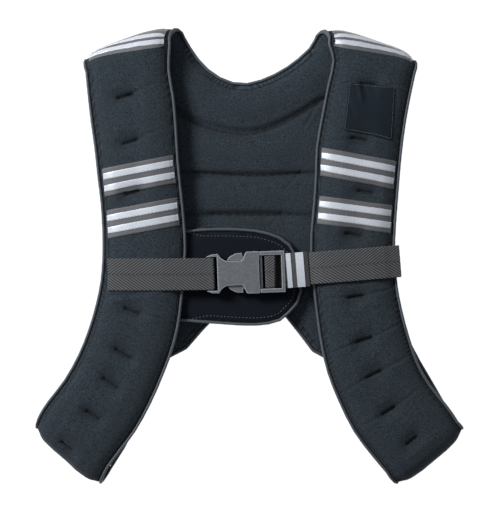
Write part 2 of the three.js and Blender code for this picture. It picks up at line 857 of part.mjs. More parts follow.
// Height of a strap's face above a point of the plan, or nothing beside the strap
function faceHeight(face, x, y) {
  let height = -Infinity;
  const test = (a, b, c) => {
    const area = (b.x - a.x) * (c.y - a.y) - (b.y - a.y) * (c.x - a.x);
    const shareB = ((x - a.x) * (c.y - a.y) - (y - a.y) * (c.x - a.x)) / area;
    const shareC = ((b.x - a.x) * (y - a.y) - (b.y - a.y) * (x - a.x)) / area;
    if (shareB < 0 || shareC < 0 || shareB + shareC > 1) return;
    height = Math.max(height, a.z + shareB * (b.z - a.z) + shareC * (c.z - a.z));
  };
  for (let row = 0; row + 1 < face.length; row += 1) {
    for (let k = 0; k + 1 < face[row].length; k += 1) {
      test(face[row][k], face[row][k + 1], face[row + 1][k + 1]);
      test(face[row][k], face[row + 1][k + 1], face[row + 1][k]);
    }
  }
  return height;
}

for (const word of ['left', 'right']) {
  straps[word].face = faceOf(straps[word].cells, 0);
}

const labelSteps = 6;

function labelPoint(i, j) {
  const place = ([x, y]) => new THREE.Vector2(x * halfSpan, y * halfLength);
  const top = place(labelCorners.topLeft).lerp(place(labelCorners.topRight), i / labelSteps);
  const bottom = place(labelCorners.bottomLeft).lerp(place(labelCorners.bottomRight), i / labelSteps);
  const point = top.lerp(bottom, j / labelSteps);
  const height = faceHeight(straps.right.face, point.x, point.y);
  return new THREE.Vector3(point.x, point.y, height + labelGap);
}

const labelRear = [];
for (let j = 0; j <= labelSteps; j += 1) {
  labelRear.push([]);
  for (let i = 0; i <= labelSteps; i += 1) labelRear[j].push(labelPoint(i, j));
}
const labelFace = labelRear.map((row) => row.map((p) => p.clone().setZ(p.z + labelThickness)));
addPiece('label_patch', plateBetween(labelFace, labelRear), materials.label);

// Guard pad

const guardHeight = frontHeight - halfThickness(guardSeat) - clearance - guardEdgeThickness / 2;
const guardEdge = samples(curveOf(guardOutline), 26).map((p) => new THREE.Vector2(p.x, p.y));

function insetOutline(outline, distance) {
  const count = outline.length;
  return outline.map((point, i) => {
    const before = point.clone().sub(outline[(i + count - 1) % count]).normalize();
    const after = outline[(i + 1) % count].clone().sub(point).normalize();
    const inward = new THREE.Vector2(before.y + after.y, -before.x - after.x);
    const miter = 2 / inward.lengthSq();
    return point.clone().addScaledVector(inward, distance * miter);
  });
}

function guardPad() {
  const edge = insetOutline(guardEdge, edgeInset).reverse();
  const flat = insetOutline(guardEdge, edgeInset + guardRounding).reverse();
  const count = edge.length;
  const ring = (outline, half) => outline.map((p) => new THREE.Vector3(p.x, p.y, guardHeight + half));
  const points = [
    ...ring(flat, guardThickness / 2), ...ring(edge, guardEdgeThickness / 2),
    ...ring(edge, -guardEdgeThickness / 2), ...ring(flat, -guardThickness / 2),
  ];
  const triangles = [];
  for (let layer = 0; layer < 3; layer += 1) {
    for (let i = 0; i < count; i += 1) {
      const a = layer * count + i;
      const b = layer * count + ((i + 1) % count);
      triangles.push([a, b, b + count], [a, b + count, a + count]);
    }
  }
  for (const [a, b, c] of THREE.ShapeUtils.triangulateShape(flat, [])) {
    triangles.push([a, b, c].reverse(), [a, b, c].map((i) => i + 3 * count));
  }
  return meshFrom(points, triangles);
}

addPiece('guard_pad', guardPad(), materials.neoprene);
const guardStops = guardEdge.map((point, i) => {
  const before = guardEdge[Math.max(i - 1, 0)];
  const after = guardEdge[Math.min(i + 1, guardEdge.length - 1)];
  return {
    point: new THREE.Vector3(point.x, point.y, guardHeight),
    outward: new THREE.Vector3(before.y - after.y, after.x - before.x, 0),
  };
});
guardStops[0].point.x += edgeInset;
guardStops.at(-1).point.x += edgeInset;
addPiece('guard_binding', barAlong(guardStops, bindingSection, false), materials.binding);

// Webbing

function beltAt(x) {
  const rows = beltLine.map(([px, py, turn]) => [px * halfSpan, py * halfLength, turn]);
  let k = 0;
  while (k + 2 < rows.length && x > rows[k + 1][0]) k += 1;
  const share = THREE.MathUtils.clamp((x - rows[k][0]) / (rows[k + 1][0] - rows[k][0]), 0, 1);
  return {
    y: THREE.MathUtils.lerp(rows[k][1], rows[k + 1][1], share),
    turn: THREE.MathUtils.lerp(rows[k][2], rows[k + 1][2], share),
  };
}

// Flat webbing along a path of [x, z] points, across the belt line
function webbingAlong(path) {
  const upper = [];
  const lower = [];
  path.forEach(([x, z], i) => {
    const [beforeX, beforeZ] = path[Math.max(i - 1, 0)];
    const [afterX, afterZ] = path[Math.min(i + 1, path.length - 1)];
    const before = new THREE.Vector2(x - beforeX, z - beforeZ).normalize();
    const after = new THREE.Vector2(afterX - x, afterZ - z).normalize();
    const along = before.clone().add(after).normalize();
    const miter = Math.max(along.dot(i > 0 ? before : after), 0.7);
    const reach = webbingThickness / 2 / miter;
    const { y, turn } = beltAt(x);
    const corner = (side, face) => new THREE.Vector3(
      x - side * (webbingWidth / 2) * Math.sin(turn) - face * along.y * reach,
      y + side * (webbingWidth / 2) * Math.cos(turn),
      z + face * along.x * reach,
    );
    upper.push([corner(-1, 1), corner(1, 1)]);
    lower.push([corner(-1, -1), corner(1, -1)]);
  });
  return plateBetween(upper, lower);
}

// Stops of taut webbing over a strap, clear of its face on both sides of each stop
function stopsOver(face, startX, endX) {
  const count = Math.round((endX - startX) / webbingStep);
  const stops = [];
  for (let i = 0; i <= count; i += 1) {
    const x = startX + ((endX - startX) * i) / count;
    const { y } = beltAt(x);
    let height = -Infinity;
    for (let dx = -touchReach; dx <= touchReach; dx += touchStep) {
      for (let share = -0.5; share <= 0.5; share += 0.25) {
        height = Math.max(height, faceHeight(face, x + dx, y + share * webbingWidth));
      }
    }
    stops.push([x, height + surfaceGap + webbingThickness / 2]);
  }
  return stops;
}

// Keeps the points that taut webbing touches
function taut(points) {
  const kept = [];
  for (const point of points) {
    while (kept.length > 1) {
      const [ax, az] = kept.at(-2);
      const [bx, bz] = kept.at(-1);
      const turn = (bx - ax) * (point[1] - az) - (bz - az) * (point[0] - ax);
      if (turn < 0) break;
      kept.pop();
    }
    kept.push(point);
  }
  return kept;
}

// The belt crosses the straps just below the middle of their length
const strapAtBelt = leftStrapRows.find(([, outerY]) => outerY < 0);
const strapOuterX = strapAtBelt[0] * halfSpan;
const strapInnerX = strapAtBelt[2] * halfSpan;
const bend = webbingThickness / 2 + clearance;
const barMiddle = buckleHeight + loopBarLift;
const barUpper = barMiddle + loopBar.thickness / 2 + bend;
const barLower = barMiddle - loopBar.thickness / 2 - bend;
const barLeft = buckleX + loopBar.x;
const barRight = barLeft + loopBar.length;
const layerStep = webbingThickness + layerGap;
const leftRun = taut([
  ...stopsOver(straps.left.face, edgeInset - strapOuterX, -strapInnerX - edgeInset),
  [barLeft - 0.5, barUpper],
]);
const [lastX, lastZ] = leftRun.at(-2);
const runSlope = (barUpper - lastZ) / (barLeft - lastX);
addPiece('webbing_left', webbingAlong([
  ...leftRun,
  [barRight + 0.5 * bend, barUpper],
  [barRight + 1.1 * bend, barUpper - 0.5 * bend],
  [barRight + 1.1 * bend, barLower + 0.5 * bend],
  [barRight + 0.5 * bend, barLower],
  [barLeft - bend, barLower],
  [barLeft - 5 * bend, barUpper - layerStep - 0.4],
  [barLeft - loopTurnBack, barUpper - layerStep - runSlope * loopTurnBack - 0.2],
]), materials.webbing);

const fixedLevel = buckleHeight + webbingLift;
const tailLevel = fixedLevel + layerStep;
const lockLeft = buckleX + lockBar.x;
const lockRight = lockLeft + lockBar.length;
const lockTop = fixedLevel + webbingThickness / 2 + clearance + lockBar.thickness;
const overLock = lockTop + bend;
const frameMouth = buckleX + frameEnd;
const keeperStart = frameMouth + keeperGap;
const keeperEnd = keeperStart + keeperLength;
const rightRun = taut([
  [keeperEnd + keeperLead, fixedLevel + webbingLift],
  ...stopsOver(straps.right.face, strapInnerX, strapOuterX - edgeInset),
]);
const tailRun = rightRun.map(([x, z]) => [x, z + layerStep]).reverse();
const [endX, endZ] = tailRun[0];
addPiece('webbing_right', webbingAlong([
  ...[...rightRun].reverse(),
  [keeperEnd, fixedLevel],
  [frameMouth, fixedLevel],
  [lockLeft - 0.5 * bend, fixedLevel],
  [lockLeft - 1.1 * bend, fixedLevel + 0.6 * bend],
  [lockLeft - 1.1 * bend, overLock - 0.6 * bend],
  [lockLeft - 0.5 * bend, overLock],
  [lockRight + 0.8 * bend, overLock],
  [lockRight + 2 * bend, overLock - 0.4 * bend],
  [lockRight + 4 * bend, tailLevel],
  [frameMouth, tailLevel],
  [keeperEnd, tailLevel],
  ...tailRun.reverse(),
  [endX + tailOverhang, endZ - tailDrop],
]), materials.webbing);

// Keeper round both layers of the right webbing

const keeperMiddle = beltAt((keeperStart + keeperEnd) / 2);
const keeperRoom = {
  width: webbingWidth + 2 * layerGap,
  height: tailLevel - fixedLevel + webbingThickness + 2 * layerGap,
};

function frameGeometry(width, height, wall, length) {
  const box = (w, h) => [
    new THREE.Vector2(-w / 2, -h / 2), new THREE.Vector2(w / 2, -h / 2),
    new THREE.Vector2(w / 2, h / 2), new THREE.Vector2(-w / 2, h / 2),
  ];
  const shape = new THREE.Shape(box(width + 2 * wall, height + 2 * wall));
  shape.holes.push(new THREE.Path(box(width, height)));
  return new THREE.ExtrudeGeometry(shape, { depth: length, bevelEnabled: false });
}

function placeKeeper(geometry, startX, z) {
  geometry.deleteAttribute('normal');
  geometry.deleteAttribute('uv');
  geometry.applyMatrix4(new THREE.Matrix4().makeBasis(
    new THREE.Vector3(0, 1, 0), new THREE.Vector3(0, 0, 1), new THREE.Vector3(1, 0, 0),
  ));
  geometry.translate(startX, 0, z);
  const middleX = (keeperStart + keeperEnd) / 2;
  geometry.translate(-middleX, 0, 0);
  geometry.rotateZ(keeperMiddle.turn);
  geometry.translate(middleX, keeperMiddle.y, 0);
  return geometry;
}

const keeperHeight = (fixedLevel + tailLevel) / 2;
addPiece('keeper', placeKeeper(
  frameGeometry(keeperRoom.width, keeperRoom.height, keeperThickness, keeperLength),
  keeperStart,
  keeperHeight,
), materials.tape);
keeperStripes.forEach(([start, length], i) => {
  const stripe = new THREE.BoxGeometry(keeperRoom.width + 2 * keeperThickness, stripeThickness, length);
  stripe.translate(0, 0, length / 2);
  const top = keeperHeight + keeperRoom.height / 2 + keeperThickness;
  addPiece(
    `keeper_stripe_${i + 1}`,
    placeKeeper(stripe, keeperStart + start, top + clearance + stripeThickness / 2),
    materials.stripe,
  );
});

// Buckle

function toManifold(geometry) {
  geometry.deleteAttribute('normal');
  geometry.deleteAttribute('uv');
  const welded = BufferGeometryUtils.mergeVertices(geometry, 1e-4);
  return new wasm.Manifold(new wasm.Mesh({
    numProp: 3,
    vertProperties: welded.attributes.position.array,
    triVerts: welded.index.array,
  }));
}

function fromManifold(solid) {
  const mesh = solid.getMesh();
  const geometry = new THREE.BufferGeometry();
  geometry.setAttribute('position', new THREE.BufferAttribute(mesh.vertProperties, 3));
  geometry.setIndex(new THREE.BufferAttribute(mesh.triVerts, 1));
  return geometry;
}

function block(x0, x1, y0, y1, z0, z1) {
  const geometry = new THREE.BoxGeometry(x1 - x0, y1 - y0, z1 - z0);
  geometry.translate((x0 + x1) / 2, (y0 + y1) / 2, (z0 + z1) / 2);
  return toManifold(geometry);
}

function slab(outline, thickness, z) {
  const points = outline.map(([x, y]) => new THREE.Vector2(x * buckleHalfWidth, y * buckleHalfWidth));
  const geometry = new THREE.ExtrudeGeometry(
    new THREE.Shape(points),
    { depth: thickness, bevelEnabled: false },
  );
  geometry.translate(0, 0, z - thickness / 2);
  return toManifold(geometry);
}

function placeBuckle(geometry) {
  const { y, turn } = beltAt(buckleX);
  geometry.rotateZ(turn);
  geometry.translate(buckleX, y, 0);
  return geometry;
}

function mirrored(outline) {
  return outline.map(([x, y]) => [x, -y]).reverse();
}

function buckleHousing() {
  const body = slab([...housingOutline, ...mirrored(housingOutline)], buckleThickness, buckleHeight);
  const earMiddle = 0.83 * buckleHalfWidth;
  const bar = block(
    loopBar.x, loopBar.x + loopBar.length, -earMiddle, earMiddle,
    barMiddle - loopBar.thickness / 2, barMiddle + loopBar.thickness / 2,
  );
  const low = buckleHeight - pocketThickness / 2;
  const high = buckleHeight + pocketThickness / 2;
  const waist = block(pocketStart, collarStart, -buckleHalfWidth - 1, buckleHalfWidth + 1, low, high);
  const inside = buckleHalfWidth - collarWall;
  const collar = block(collarStart - 1, buckleHalfWidth + 1, -inside, inside, low, high);
  return body.add(bar).subtract(waist).subtract(collar);
}

function bucklePlug() {
  const inside = webbingWidth / 2 + layerGap + clearance;
  const outside = inside + railWidth;
  const railTop = buckleTop - clearance;
  const wall = block(
    frameStart, frameStart + frameWall, -outside, outside, railTop - railThickness, railTop - wallDrop,
  );
  const rail = (side) => block(
    frameStart, frameEnd, Math.min(side * inside, side * outside),
    Math.max(side * inside, side * outside), railTop - railThickness, railTop,
  );
  const lock = block(
    lockBar.x, lockBar.x + lockBar.length, -outside, outside, lockTop - lockBar.thickness, lockTop,
  );
  const end = block(
    frameEnd - endBar.length, frameEnd, -outside, outside, railTop - endBar.thickness, railTop,
  );
  const prongs = slab(prongOutline, prongThickness, buckleHeight)
    .add(slab(mirrored(prongOutline), prongThickness, buckleHeight));
  return wall.add(rail(-1)).add(rail(1)).add(lock).add(end).add(prongs);
}

addPiece('buckle_housing', placeBuckle(fromManifold(buckleHousing())), materials.plastic);
addPiece('buckle_plug', placeBuckle(fromManifold(bucklePlug())), materials.plastic);

// The origin goes to the middle of the vest's box, at its underside
const box = new THREE.Box3().setFromObject(vest);
vest.position.set(-(box.min.x + box.max.x) / 2, -(box.min.y + box.max.y) / 2, -box.min.z);
vest.updateMatrixWorld(true);

export default vest;
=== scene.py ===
"""Weighted vest, laid flat: padded neoprene body, bound edges, ribbons, webbing belt and buckle."""

import math

import bmesh
import bpy
import numpy as np
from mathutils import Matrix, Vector, kdtree
from mathutils.bvhtree import BVHTree


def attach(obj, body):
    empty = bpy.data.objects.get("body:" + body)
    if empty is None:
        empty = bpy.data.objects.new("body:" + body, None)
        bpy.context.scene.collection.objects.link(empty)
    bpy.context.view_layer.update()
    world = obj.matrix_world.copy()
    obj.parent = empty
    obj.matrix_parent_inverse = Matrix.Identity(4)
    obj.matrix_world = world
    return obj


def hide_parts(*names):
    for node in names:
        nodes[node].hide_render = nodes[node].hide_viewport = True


bl_info = {
    "name": "Weighted vest",
    "version": (1, 0, 0),
    "blender": (4, 5, 0),
    "location": "View3D > Sidebar > Vest",
    "description": "Dresses the vest's frame with padded neoprene, bindings, ribbons and a buckled belt",
    "category": "Object",
}

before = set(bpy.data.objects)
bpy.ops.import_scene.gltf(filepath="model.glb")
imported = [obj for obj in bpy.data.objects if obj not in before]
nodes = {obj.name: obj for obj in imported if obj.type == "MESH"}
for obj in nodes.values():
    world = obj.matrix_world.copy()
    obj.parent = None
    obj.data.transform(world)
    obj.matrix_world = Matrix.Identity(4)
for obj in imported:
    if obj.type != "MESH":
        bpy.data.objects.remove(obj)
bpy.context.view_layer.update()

MM = 0.001
HALF_SPAN = 214
HALF_LENGTH = 229
# The body was centred by this much after it was drawn, in mm.
SHIFT_X = -0.53
SHIFT_Y = -0.74
# The photograph's pixel that lies over the drawing's centre, at 1 mm a pixel.
PIXEL_X = 249
PIXEL_Y = 256
FLOOR_SIZE = 12
# The folded binding's drawn width, and how far its inner and outer side move out over the pad's edge.
BINDING_WIDTH = 5 * MM
BINDING_SHIFT = (2.6 * MM, 0.7 * MM)

BINDING_MESH = 0.8 * MM
WEBBING_MESH = 0.55 * MM
PLASTIC_MESH = 0.33 * MM
# Cloth simulation: the coarse mesh, the pressure inside it and the frames that it runs.
CLOTH_MESH = 5 * MM
CLOTH_PRESSURE = 4
CLOTH_FRAMES = 20
# How high the sewn-on layers lie above the padding.
RIBBON_LIFT = 0.55 * MM
STRIPE_LIFT = 0.95 * MM
LABEL_LIFT = 0.9 * MM
LABEL_THICKNESS = 0.7 * MM
# How far inside the edges the seam stitches run.
STRAP_STITCH_INSET = 3.2 * MM
BACK_STITCH_INSET = 4.1 * MM
GUARD_STITCH_INSET = 5.0 * MM
# The webbing's ribs along the belt, and its finer threads.
RIB_PITCH = 4.0 * MM
THREAD_PITCH = 1.7 * MM
# Stitches: their length and thickness, after their pitch where it isn't the seams' own.
STITCH_LIFT = 0.1 * MM
SEAM_STITCH = (1.9 * MM, 0.9 * MM)
TACK_STITCH = (1.1 * MM, 1.3 * MM, 0.7 * MM)
LABEL_STITCH = (2.2 * MM, 1.7 * MM, 0.6 * MM)
GUARD_STITCH = (3.6 * MM, 2.6 * MM, 0.8 * MM)
# Solid corners nearer to each other than this are one point.
WELD = 0.01 * MM
# Lamps: place, power in watts and size in metres.
LAMP_KEY = ((-1.35, 0.9, 1.25), 76, 0.6)
LAMP_TOP = ((0.2, 0.5, 2.4), 8, 1.6)
AMBIENT = 0.33
# The photograph is 513 pixels high, at 1 mm a pixel on the upper layer, 33 mm above the floor.
PHOTO_HEIGHT = 513 * MM
UPPER_LAYER = 33 * MM
CAMERA_DISTANCE = 2.0

# Edges of the shoulder straps, from the shoulder to the hem, as shares of the half span and length.
# Columns: outer x, outer y, inner x, inner y.
LEFT_STRAP = [
    (-0.762, 0.860, -0.371, 0.990),
    (-0.752, 0.803, -0.379, 0.930),
    (-0.741, 0.699, -0.383, 0.812),
    (-0.727, 0.585, -0.362, 0.690),
    (-0.710, 0.472, -0.350, 0.559),
    (-0.696, 0.349, -0.341, 0.419),
    (-0.680, 0.223, -0.327, 0.288),
    (-0.673, 0.105, -0.313, 0.157),
    (-0.673, -0.009, -0.306, 0.026),
    (-0.682, -0.114, -0.318, -0.114),
    (-0.703, -0.210, -0.332, -0.253),
    (-0.738, -0.323, -0.360, -0.380),
    (-0.787, -0.437, -0.409, -0.507),
    (-0.855, -0.550, -0.470, -0.638),
    (-0.928, -0.638, -0.542, -0.760),
    (-0.953, -0.672, -0.612, -0.847),
    (-0.967, -0.694, -0.668, -0.917),
]
RIGHT_STRAP = [
    (0.780, 0.855, 0.372, 0.985),
    (0.766, 0.799, 0.383, 0.930),
    (0.745, 0.707, 0.404, 0.856),
    (0.724, 0.603, 0.379, 0.742),
    (0.708, 0.498, 0.353, 0.616),
    (0.696, 0.393, 0.327, 0.476),
    (0.687, 0.288, 0.322, 0.354),
    (0.678, 0.183, 0.313, 0.223),
    (0.671, 0.070, 0.301, 0.096),
    (0.673, -0.026, 0.301, -0.017),
    (0.682, -0.131, 0.313, -0.140),
    (0.703, -0.236, 0.327, -0.253),
    (0.738, -0.358, 0.348, -0.384),
    (0.780, -0.472, 0.379, -0.507),
    (0.841, -0.572, 0.430, -0.629),
    (0.916, -0.659, 0.500, -0.760),
    (0.953, -0.707, 0.579, -0.860),
    (0.967, -0.729, 0.650, -0.939),
]
NECKLINE = [
    (-0.289, 0.921), (-0.239, 0.854), (-0.175, 0.799), (-0.095, 0.761), (-0.014, 0.752),
    (0.066, 0.770), (0.147, 0.805), (0.227, 0.854), (0.294, 0.912),
]
HEM_ARCH = [
    (-0.388, -0.443), (-0.350, -0.443), (-0.308, -0.407), (-0.251, -0.345),
    (-0.185, -0.279), (-0.099, -0.199), (0.005, -0.150), (0.109, -0.195),
    (0.194, -0.274), (0.260, -0.354), (0.327, -0.434), (0.360, -0.456), (0.393, -0.456),
]
GUARD_OUTLINE = [
    (-0.353, 0.094), (-0.196, 0.109), (0.009, 0.105), (0.093, 0.090), (0.159, 0.063),
    (0.203, 0.020), (0.222, -0.055), (0.236, -0.140), (0.222, -0.198), (0.184, -0.240),
    (0.140, -0.275), (0.040, -0.293), (-0.173, -0.284), (-0.353, -0.271),
]
# Quilted channels of the back, in pixels of the photograph.
YOKE_SEAM = [
    (150, 101), (177, 112), (194, 121), (217, 129), (243, 133), (263, 130), (286, 121),
    (309, 108), (324, 98), (345, 84),
]
UPPER_CHANNEL = [(160, 172), (199, 172), (229, 174), (263, 174.7), (303.5, 172.4), (345, 170)]
LOWER_CHANNEL = [(160, 215), (206, 214), (250, 214.6), (302, 214), (345, 213)]
# Short stitched bars that hold the filling. Columns: x and y of both ends, in pixels.
LEFT_TACKS = [
    (118.5, 98.5, 132.5, 94.8),
    (124, 144, 137, 140),
    (126, 195, 139, 191),
    (126, 308.5, 138.5, 313.4),
    (117, 349.5, 130.5, 357.5),
    (104.5, 378.5, 117, 387),
    (87.5, 411.5, 98.5, 418.5),
    (62, 443, 71, 450.5),
]
RIGHT_TACKS = [
    (361.5, 84.2, 374, 85.2),
    (353, 138.5, 366, 140.5),
    (359, 191, 372, 193),
    (347, 234, 360, 236),
    (349.5, 298, 362.5, 296),
    (358, 342, 370.5, 338),
    (368, 377, 380, 371),
    (383, 414, 394, 407),
    (407, 444, 416, 437),
]
# Soft creases of the fabric. Columns: x and y of both ends in pixels, depth and width in mm.
LEFT_CREASES = [
    (90, 359, 104, 375, 0.7, 2.2),
    (116, 388, 132, 391, 0.6, 2.4),
    (149, 65, 166, 77, 0.6, 2.2),
    (131, 94, 150, 86, 0.5, 3.0),
    (136, 140, 156, 131, 0.5, 3.0),
    (110, 300, 127, 309, 0.6, 3.0),
    (138, 313, 160, 318, 0.6, 3.0),
    (98, 336, 118, 350, 0.6, 3.0),
    (130, 358, 150, 366, 0.6, 3.0),
    (112, 296, 150, 292, 0.8, 4.0),
    (70, 404, 88, 412, 0.5, 3.0),
]
RIGHT_CREASES = [
    (330, 88, 348, 83, 0.8, 2.0),
    (374, 85, 396, 86, 0.6, 2.6),
    (330, 298, 350, 298, 0.6, 3.0),
    (362, 296, 386, 290, 0.6, 3.0),
    (338, 350, 358, 342, 0.6, 3.0),
    (370, 338, 396, 326, 0.6, 3.0),
    (350, 388, 368, 377, 0.6, 3.0),
    (380, 371, 404, 358, 0.6, 3.0),
    (366, 424, 383, 414, 0.5, 3.0),
    (394, 407, 414, 392, 0.5, 3.0),
    (320, 143, 353, 139, 0.5, 3.0),
]
BACK_CREASES = [
    (181, 118, 187, 132, 0.9, 3.0),
    (206, 214, 222, 224, 0.5, 3.0),
    (240, 214, 252, 226, 0.5, 3.0),
    (196, 172, 210, 184, 0.5, 3.0),
    (300, 172, 288, 186, 0.5, 3.0),
    (316, 106, 306, 124, 0.8, 3.0),
    (230, 174, 240, 196, 0.4, 4.0),
    (280, 214, 270, 226, 0.5, 3.0),
]
# Middle line of the belt. Columns: x and y as shares.
BELT_LINE = [
    (-0.664, -0.081), (-0.303, -0.081), (-0.200, -0.079), (0.154, -0.067),
    (0.200, -0.063), (0.280, -0.055), (0.720, -0.021),
]
# The guard's near-black blue as shares of the neoprene's red, green and blue.
GUARD_SHARES = (0.04, 0.1, 0.2)
# The padded parts, each with the fineness of its mesh.
PADS = {
    "back_panel": 1.6 * MM,
    "front_strap_left": 1.25 * MM,
    "front_strap_right": 1.25 * MM,
    "side_wing_left": 1.6 * MM,
    "side_wing_right": 1.6 * MM,
    "guard_pad": 1.0 * MM,
}
# Folds of the label patch (pixels; height and half width in mm) and the line of its border stitches.
LABEL_FOLDS = [(358, 84, 361, 98, 1.5, 1.8), (363, 85, 366, 92, -0.9, 1.6), (346, 95, 352, 112, -0.8, 2.2),
               (376, 86, 380, 96, 0.5, 3)]
LABEL_BORDER = [(350, 84.6), (362, 85.6), (374, 86.8), (386, 87.8), (396, 88.6), (395.4, 101), (394.4, 114),
                (393.2, 127), (392.2, 138.4), (380, 135.8), (368, 133.4), (356, 131), (345.2, 128.8),
                (346.2, 118), (347.6, 106), (348.8, 95), (350, 84.6)]
# Where the free end dives behind the lock bar: start, end and depth.
SLOT_DIP = (25.2 * MM, 33.2 * MM, 4.2 * MM)
# Above this line the back panel is sewn to the straps' folded tops.
SHOULDER_SEAM_Y = 192 * MM
SHOULDER_SEAM_TOP = 16 * MM
SHOULDER_SEAMS = {
    "back_panel": ("front_strap_left", "front_strap_right"),
    "front_strap_left": ("back_panel",),
    "front_strap_right": ("back_panel",),
}
# Half the height of the shoulder fold, and how far the ribbon slides round it at its outer and inner end.
FOLD_RADIUS = 19.5 * MM
FOLD_SLIDE = (10 * MM, -8 * MM)
# Needle lines beside the binding. Columns: distance from it, half width, depth, shadow, light (mm, shares).
STRAP_SEAMS = [
    (0.7, 1.3, 0.7, 1.0, 0),
    (3.0, 0.9, -0.45, 0, 0.3),
    (4.8, 0.8, 0.3, 0.3, 0),
]
SEAMS = {
    "back_panel": [
        (0.5, 1.0, 0.6, 1.0, 0),
        (2.8, 0.9, -0.4, 0, 0.9),
        (4.9, 1.0, 0.6, 1.0, 0),
    ],
    "guard_pad": [
        (0.8, 1.6, 0.6, 1.0, 0),
        (3.6, 0.6, -0.4, 0, 1.0),
    ],
}
BINDINGS = ("armhole_binding_left", "armhole_binding_right", "inner_binding", "guard_binding")


def linear(code):
    """The linear colour of an sRGB hex value such as 2b333b."""
    shares = [int(code[i:i + 2], 16) / 255 for i in (0, 2, 4)]
    return tuple(s / 12.92 if s <= 0.04045 else ((s + 0.055) / 1.055) ** 2.4 for s in shares)


class VestSizes(bpy.types.PropertyGroup):
    """Sizes and colours that a user of the vest would change."""

    fill: bpy.props.FloatProperty(
        name="Fill", description="How tight the padding is, from slack to full",
        default=0.55, min=0, max=1, subtype="FACTOR")
    swell: bpy.props.FloatProperty(
        name="Swell", description="How far the padding may puff out of its drawn shape",
        default=1.8 * MM, min=0, max=5 * MM, subtype="DISTANCE", unit="LENGTH")
    tack_depth: bpy.props.FloatProperty(
        name="Tack depth", description="How deep the stitched bars pull the padding in",
        default=2.4 * MM, min=0, max=5 * MM, subtype="DISTANCE", unit="LENGTH")
    tape_thickness: bpy.props.FloatProperty(
        name="Ribbon thickness", description="Thickness of the sewn-on ribbons",
        default=0.5 * MM, min=0.1 * MM, max=2 * MM, subtype="DISTANCE", unit="LENGTH")
    stitch_pitch: bpy.props.FloatProperty(
        name="Stitch pitch", description="Distance from stitch to stitch along the seams",
        default=2.6 * MM, min=1 * MM, max=6 * MM, subtype="DISTANCE", unit="LENGTH")
    neoprene: bpy.props.FloatVectorProperty(
        name="Neoprene", description="Colour of the jersey-faced neoprene",
        default=linear("1e252b"), size=3, min=0, max=1, subtype="COLOR")
    binding: bpy.props.FloatVectorProperty(
        name="Binding", description="Colour of the folded edge binding",
        default=linear("3f464f"), size=3, min=0, max=1, subtype="COLOR")
    ribbon: bpy.props.FloatVectorProperty(
        name="Ribbon", description="Colour of the woven ribbon under the reflective stripes",
        default=linear("414246"), size=3, min=0, max=1, subtype="COLOR")
    reflective: bpy.props.FloatVectorProperty(
        name="Reflective", description="Colour of the reflective stripes",
        default=linear("a8adb6"), size=3, min=0, max=1, subtype="COLOR")
    webbing: bpy.props.FloatVectorProperty(
        name="Webbing", description="Colour of the belt webbing",
        default=linear("393a3c"), size=3, min=0, max=1, subtype="COLOR")
    plastic: bpy.props.FloatVectorProperty(
        name="Buckle", description="Colour of the moulded buckle",
        default=linear("43474c"), size=3, min=0, max=1, subtype="COLOR")


def sizes():
    return bpy.context.scene.vest_sizes


def flat(share_x, share_y):
    """Where a share of the half span and half length lies, in metres."""
    return Vector(((share_x * HALF_SPAN + SHIFT_X) * MM, (share_y * HALF_LENGTH + SHIFT_Y) * MM))


def under_pixel(x, y):
    """Where a pixel of the photograph lies on the upper layer, in metres."""
    return Vector(((x - PIXEL_X + SHIFT_X) * MM, (PIXEL_Y - y + SHIFT_Y) * MM))


def smooth_line(points, step=2 * MM, closed=False):
    """A Catmull-Rom line through flat points, as points about one step apart."""
    last = len(points) - 1
    line = []
    for i in range(len(points) if closed else last):
        if closed:
            a, b, c, d = (points[(i + k) % len(points)] for k in (-1, 0, 1, 2))
        else:
            a, b, c, d = (points[min(max(i + k, 0), last)] for k in (-1, 0, 1, 2))
        count = max(2, int((c - b).length / step))
        for j in range(count):
            t = j / count
            line.append(0.5 * ((2 * b) + (c - a) * t + (2 * a - 5 * b + 4 * c - d) * t * t
                               + (3 * b - a - 3 * c + d) * t ** 3))
    if not closed:
        line.append(points[-1])
    return line


def moved_sideways(line, distance, closed=False):
    """The same flat line, moved to its left by a distance."""
    moved = []
    count = len(line)
    for i, point in enumerate(line):
        before = line[(i - 1) % count] if closed else line[max(i - 1, 0)]
        after = line[(i + 1) % count] if closed else line[min(i + 1, count - 1)]
        along = (after - before).normalized()
        moved.append(point + distance * Vector((-along.y, along.x)))
    return moved


def shown(name, mesh):
    """A new object in the scene."""
    piece = bpy.data.objects.new(name, mesh)
    bpy.context.scene.collection.objects.link(piece)
    return piece


def loose(piece):
    """Takes a helper object and its mesh out again."""
    mesh = piece.data
    bpy.data.objects.remove(piece)
    if isinstance(mesh, bpy.types.Mesh):
        bpy.data.meshes.remove(mesh)


def baked(piece):
    """Turns the piece's modifiers into its mesh."""
    graph = bpy.context.evaluated_depsgraph_get()
    mesh = bpy.data.meshes.new_from_object(piece.evaluated_get(graph))
    old = piece.data
    piece.modifiers.clear()
    piece.data = mesh
    if isinstance(old, bpy.types.Mesh):
        bpy.data.meshes.remove(old)
    return piece


def node_copy(node, name):
    """A new object with the frame solid's mesh, its loose triangles merged."""
    mesh = nodes[node].data.copy()
    mesh.name = name
    mesh.materials.clear()
    work = bmesh.new()
    work.from_mesh(mesh)
    bmesh.ops.remove_doubles(work, verts=work.verts, dist=WELD)
    work.to_mesh(mesh)
    work.free()
    for layer in list(mesh.uv_layers):
        mesh.uv_layers.remove(layer)
    if mesh.has_custom_normals:
        mesh.normals_split_custom_set_from_vertices([(0, 0, 0)] * len(mesh.vertices))
    return shown(name, mesh)


def remeshed(piece, voxel):
    """The piece with an even mesh of small faces."""
    remesh = piece.modifiers.new("Remesh", "REMESH")
    remesh.mode = "VOXEL"
    remesh.voxel_size = voxel
    return baked(piece)


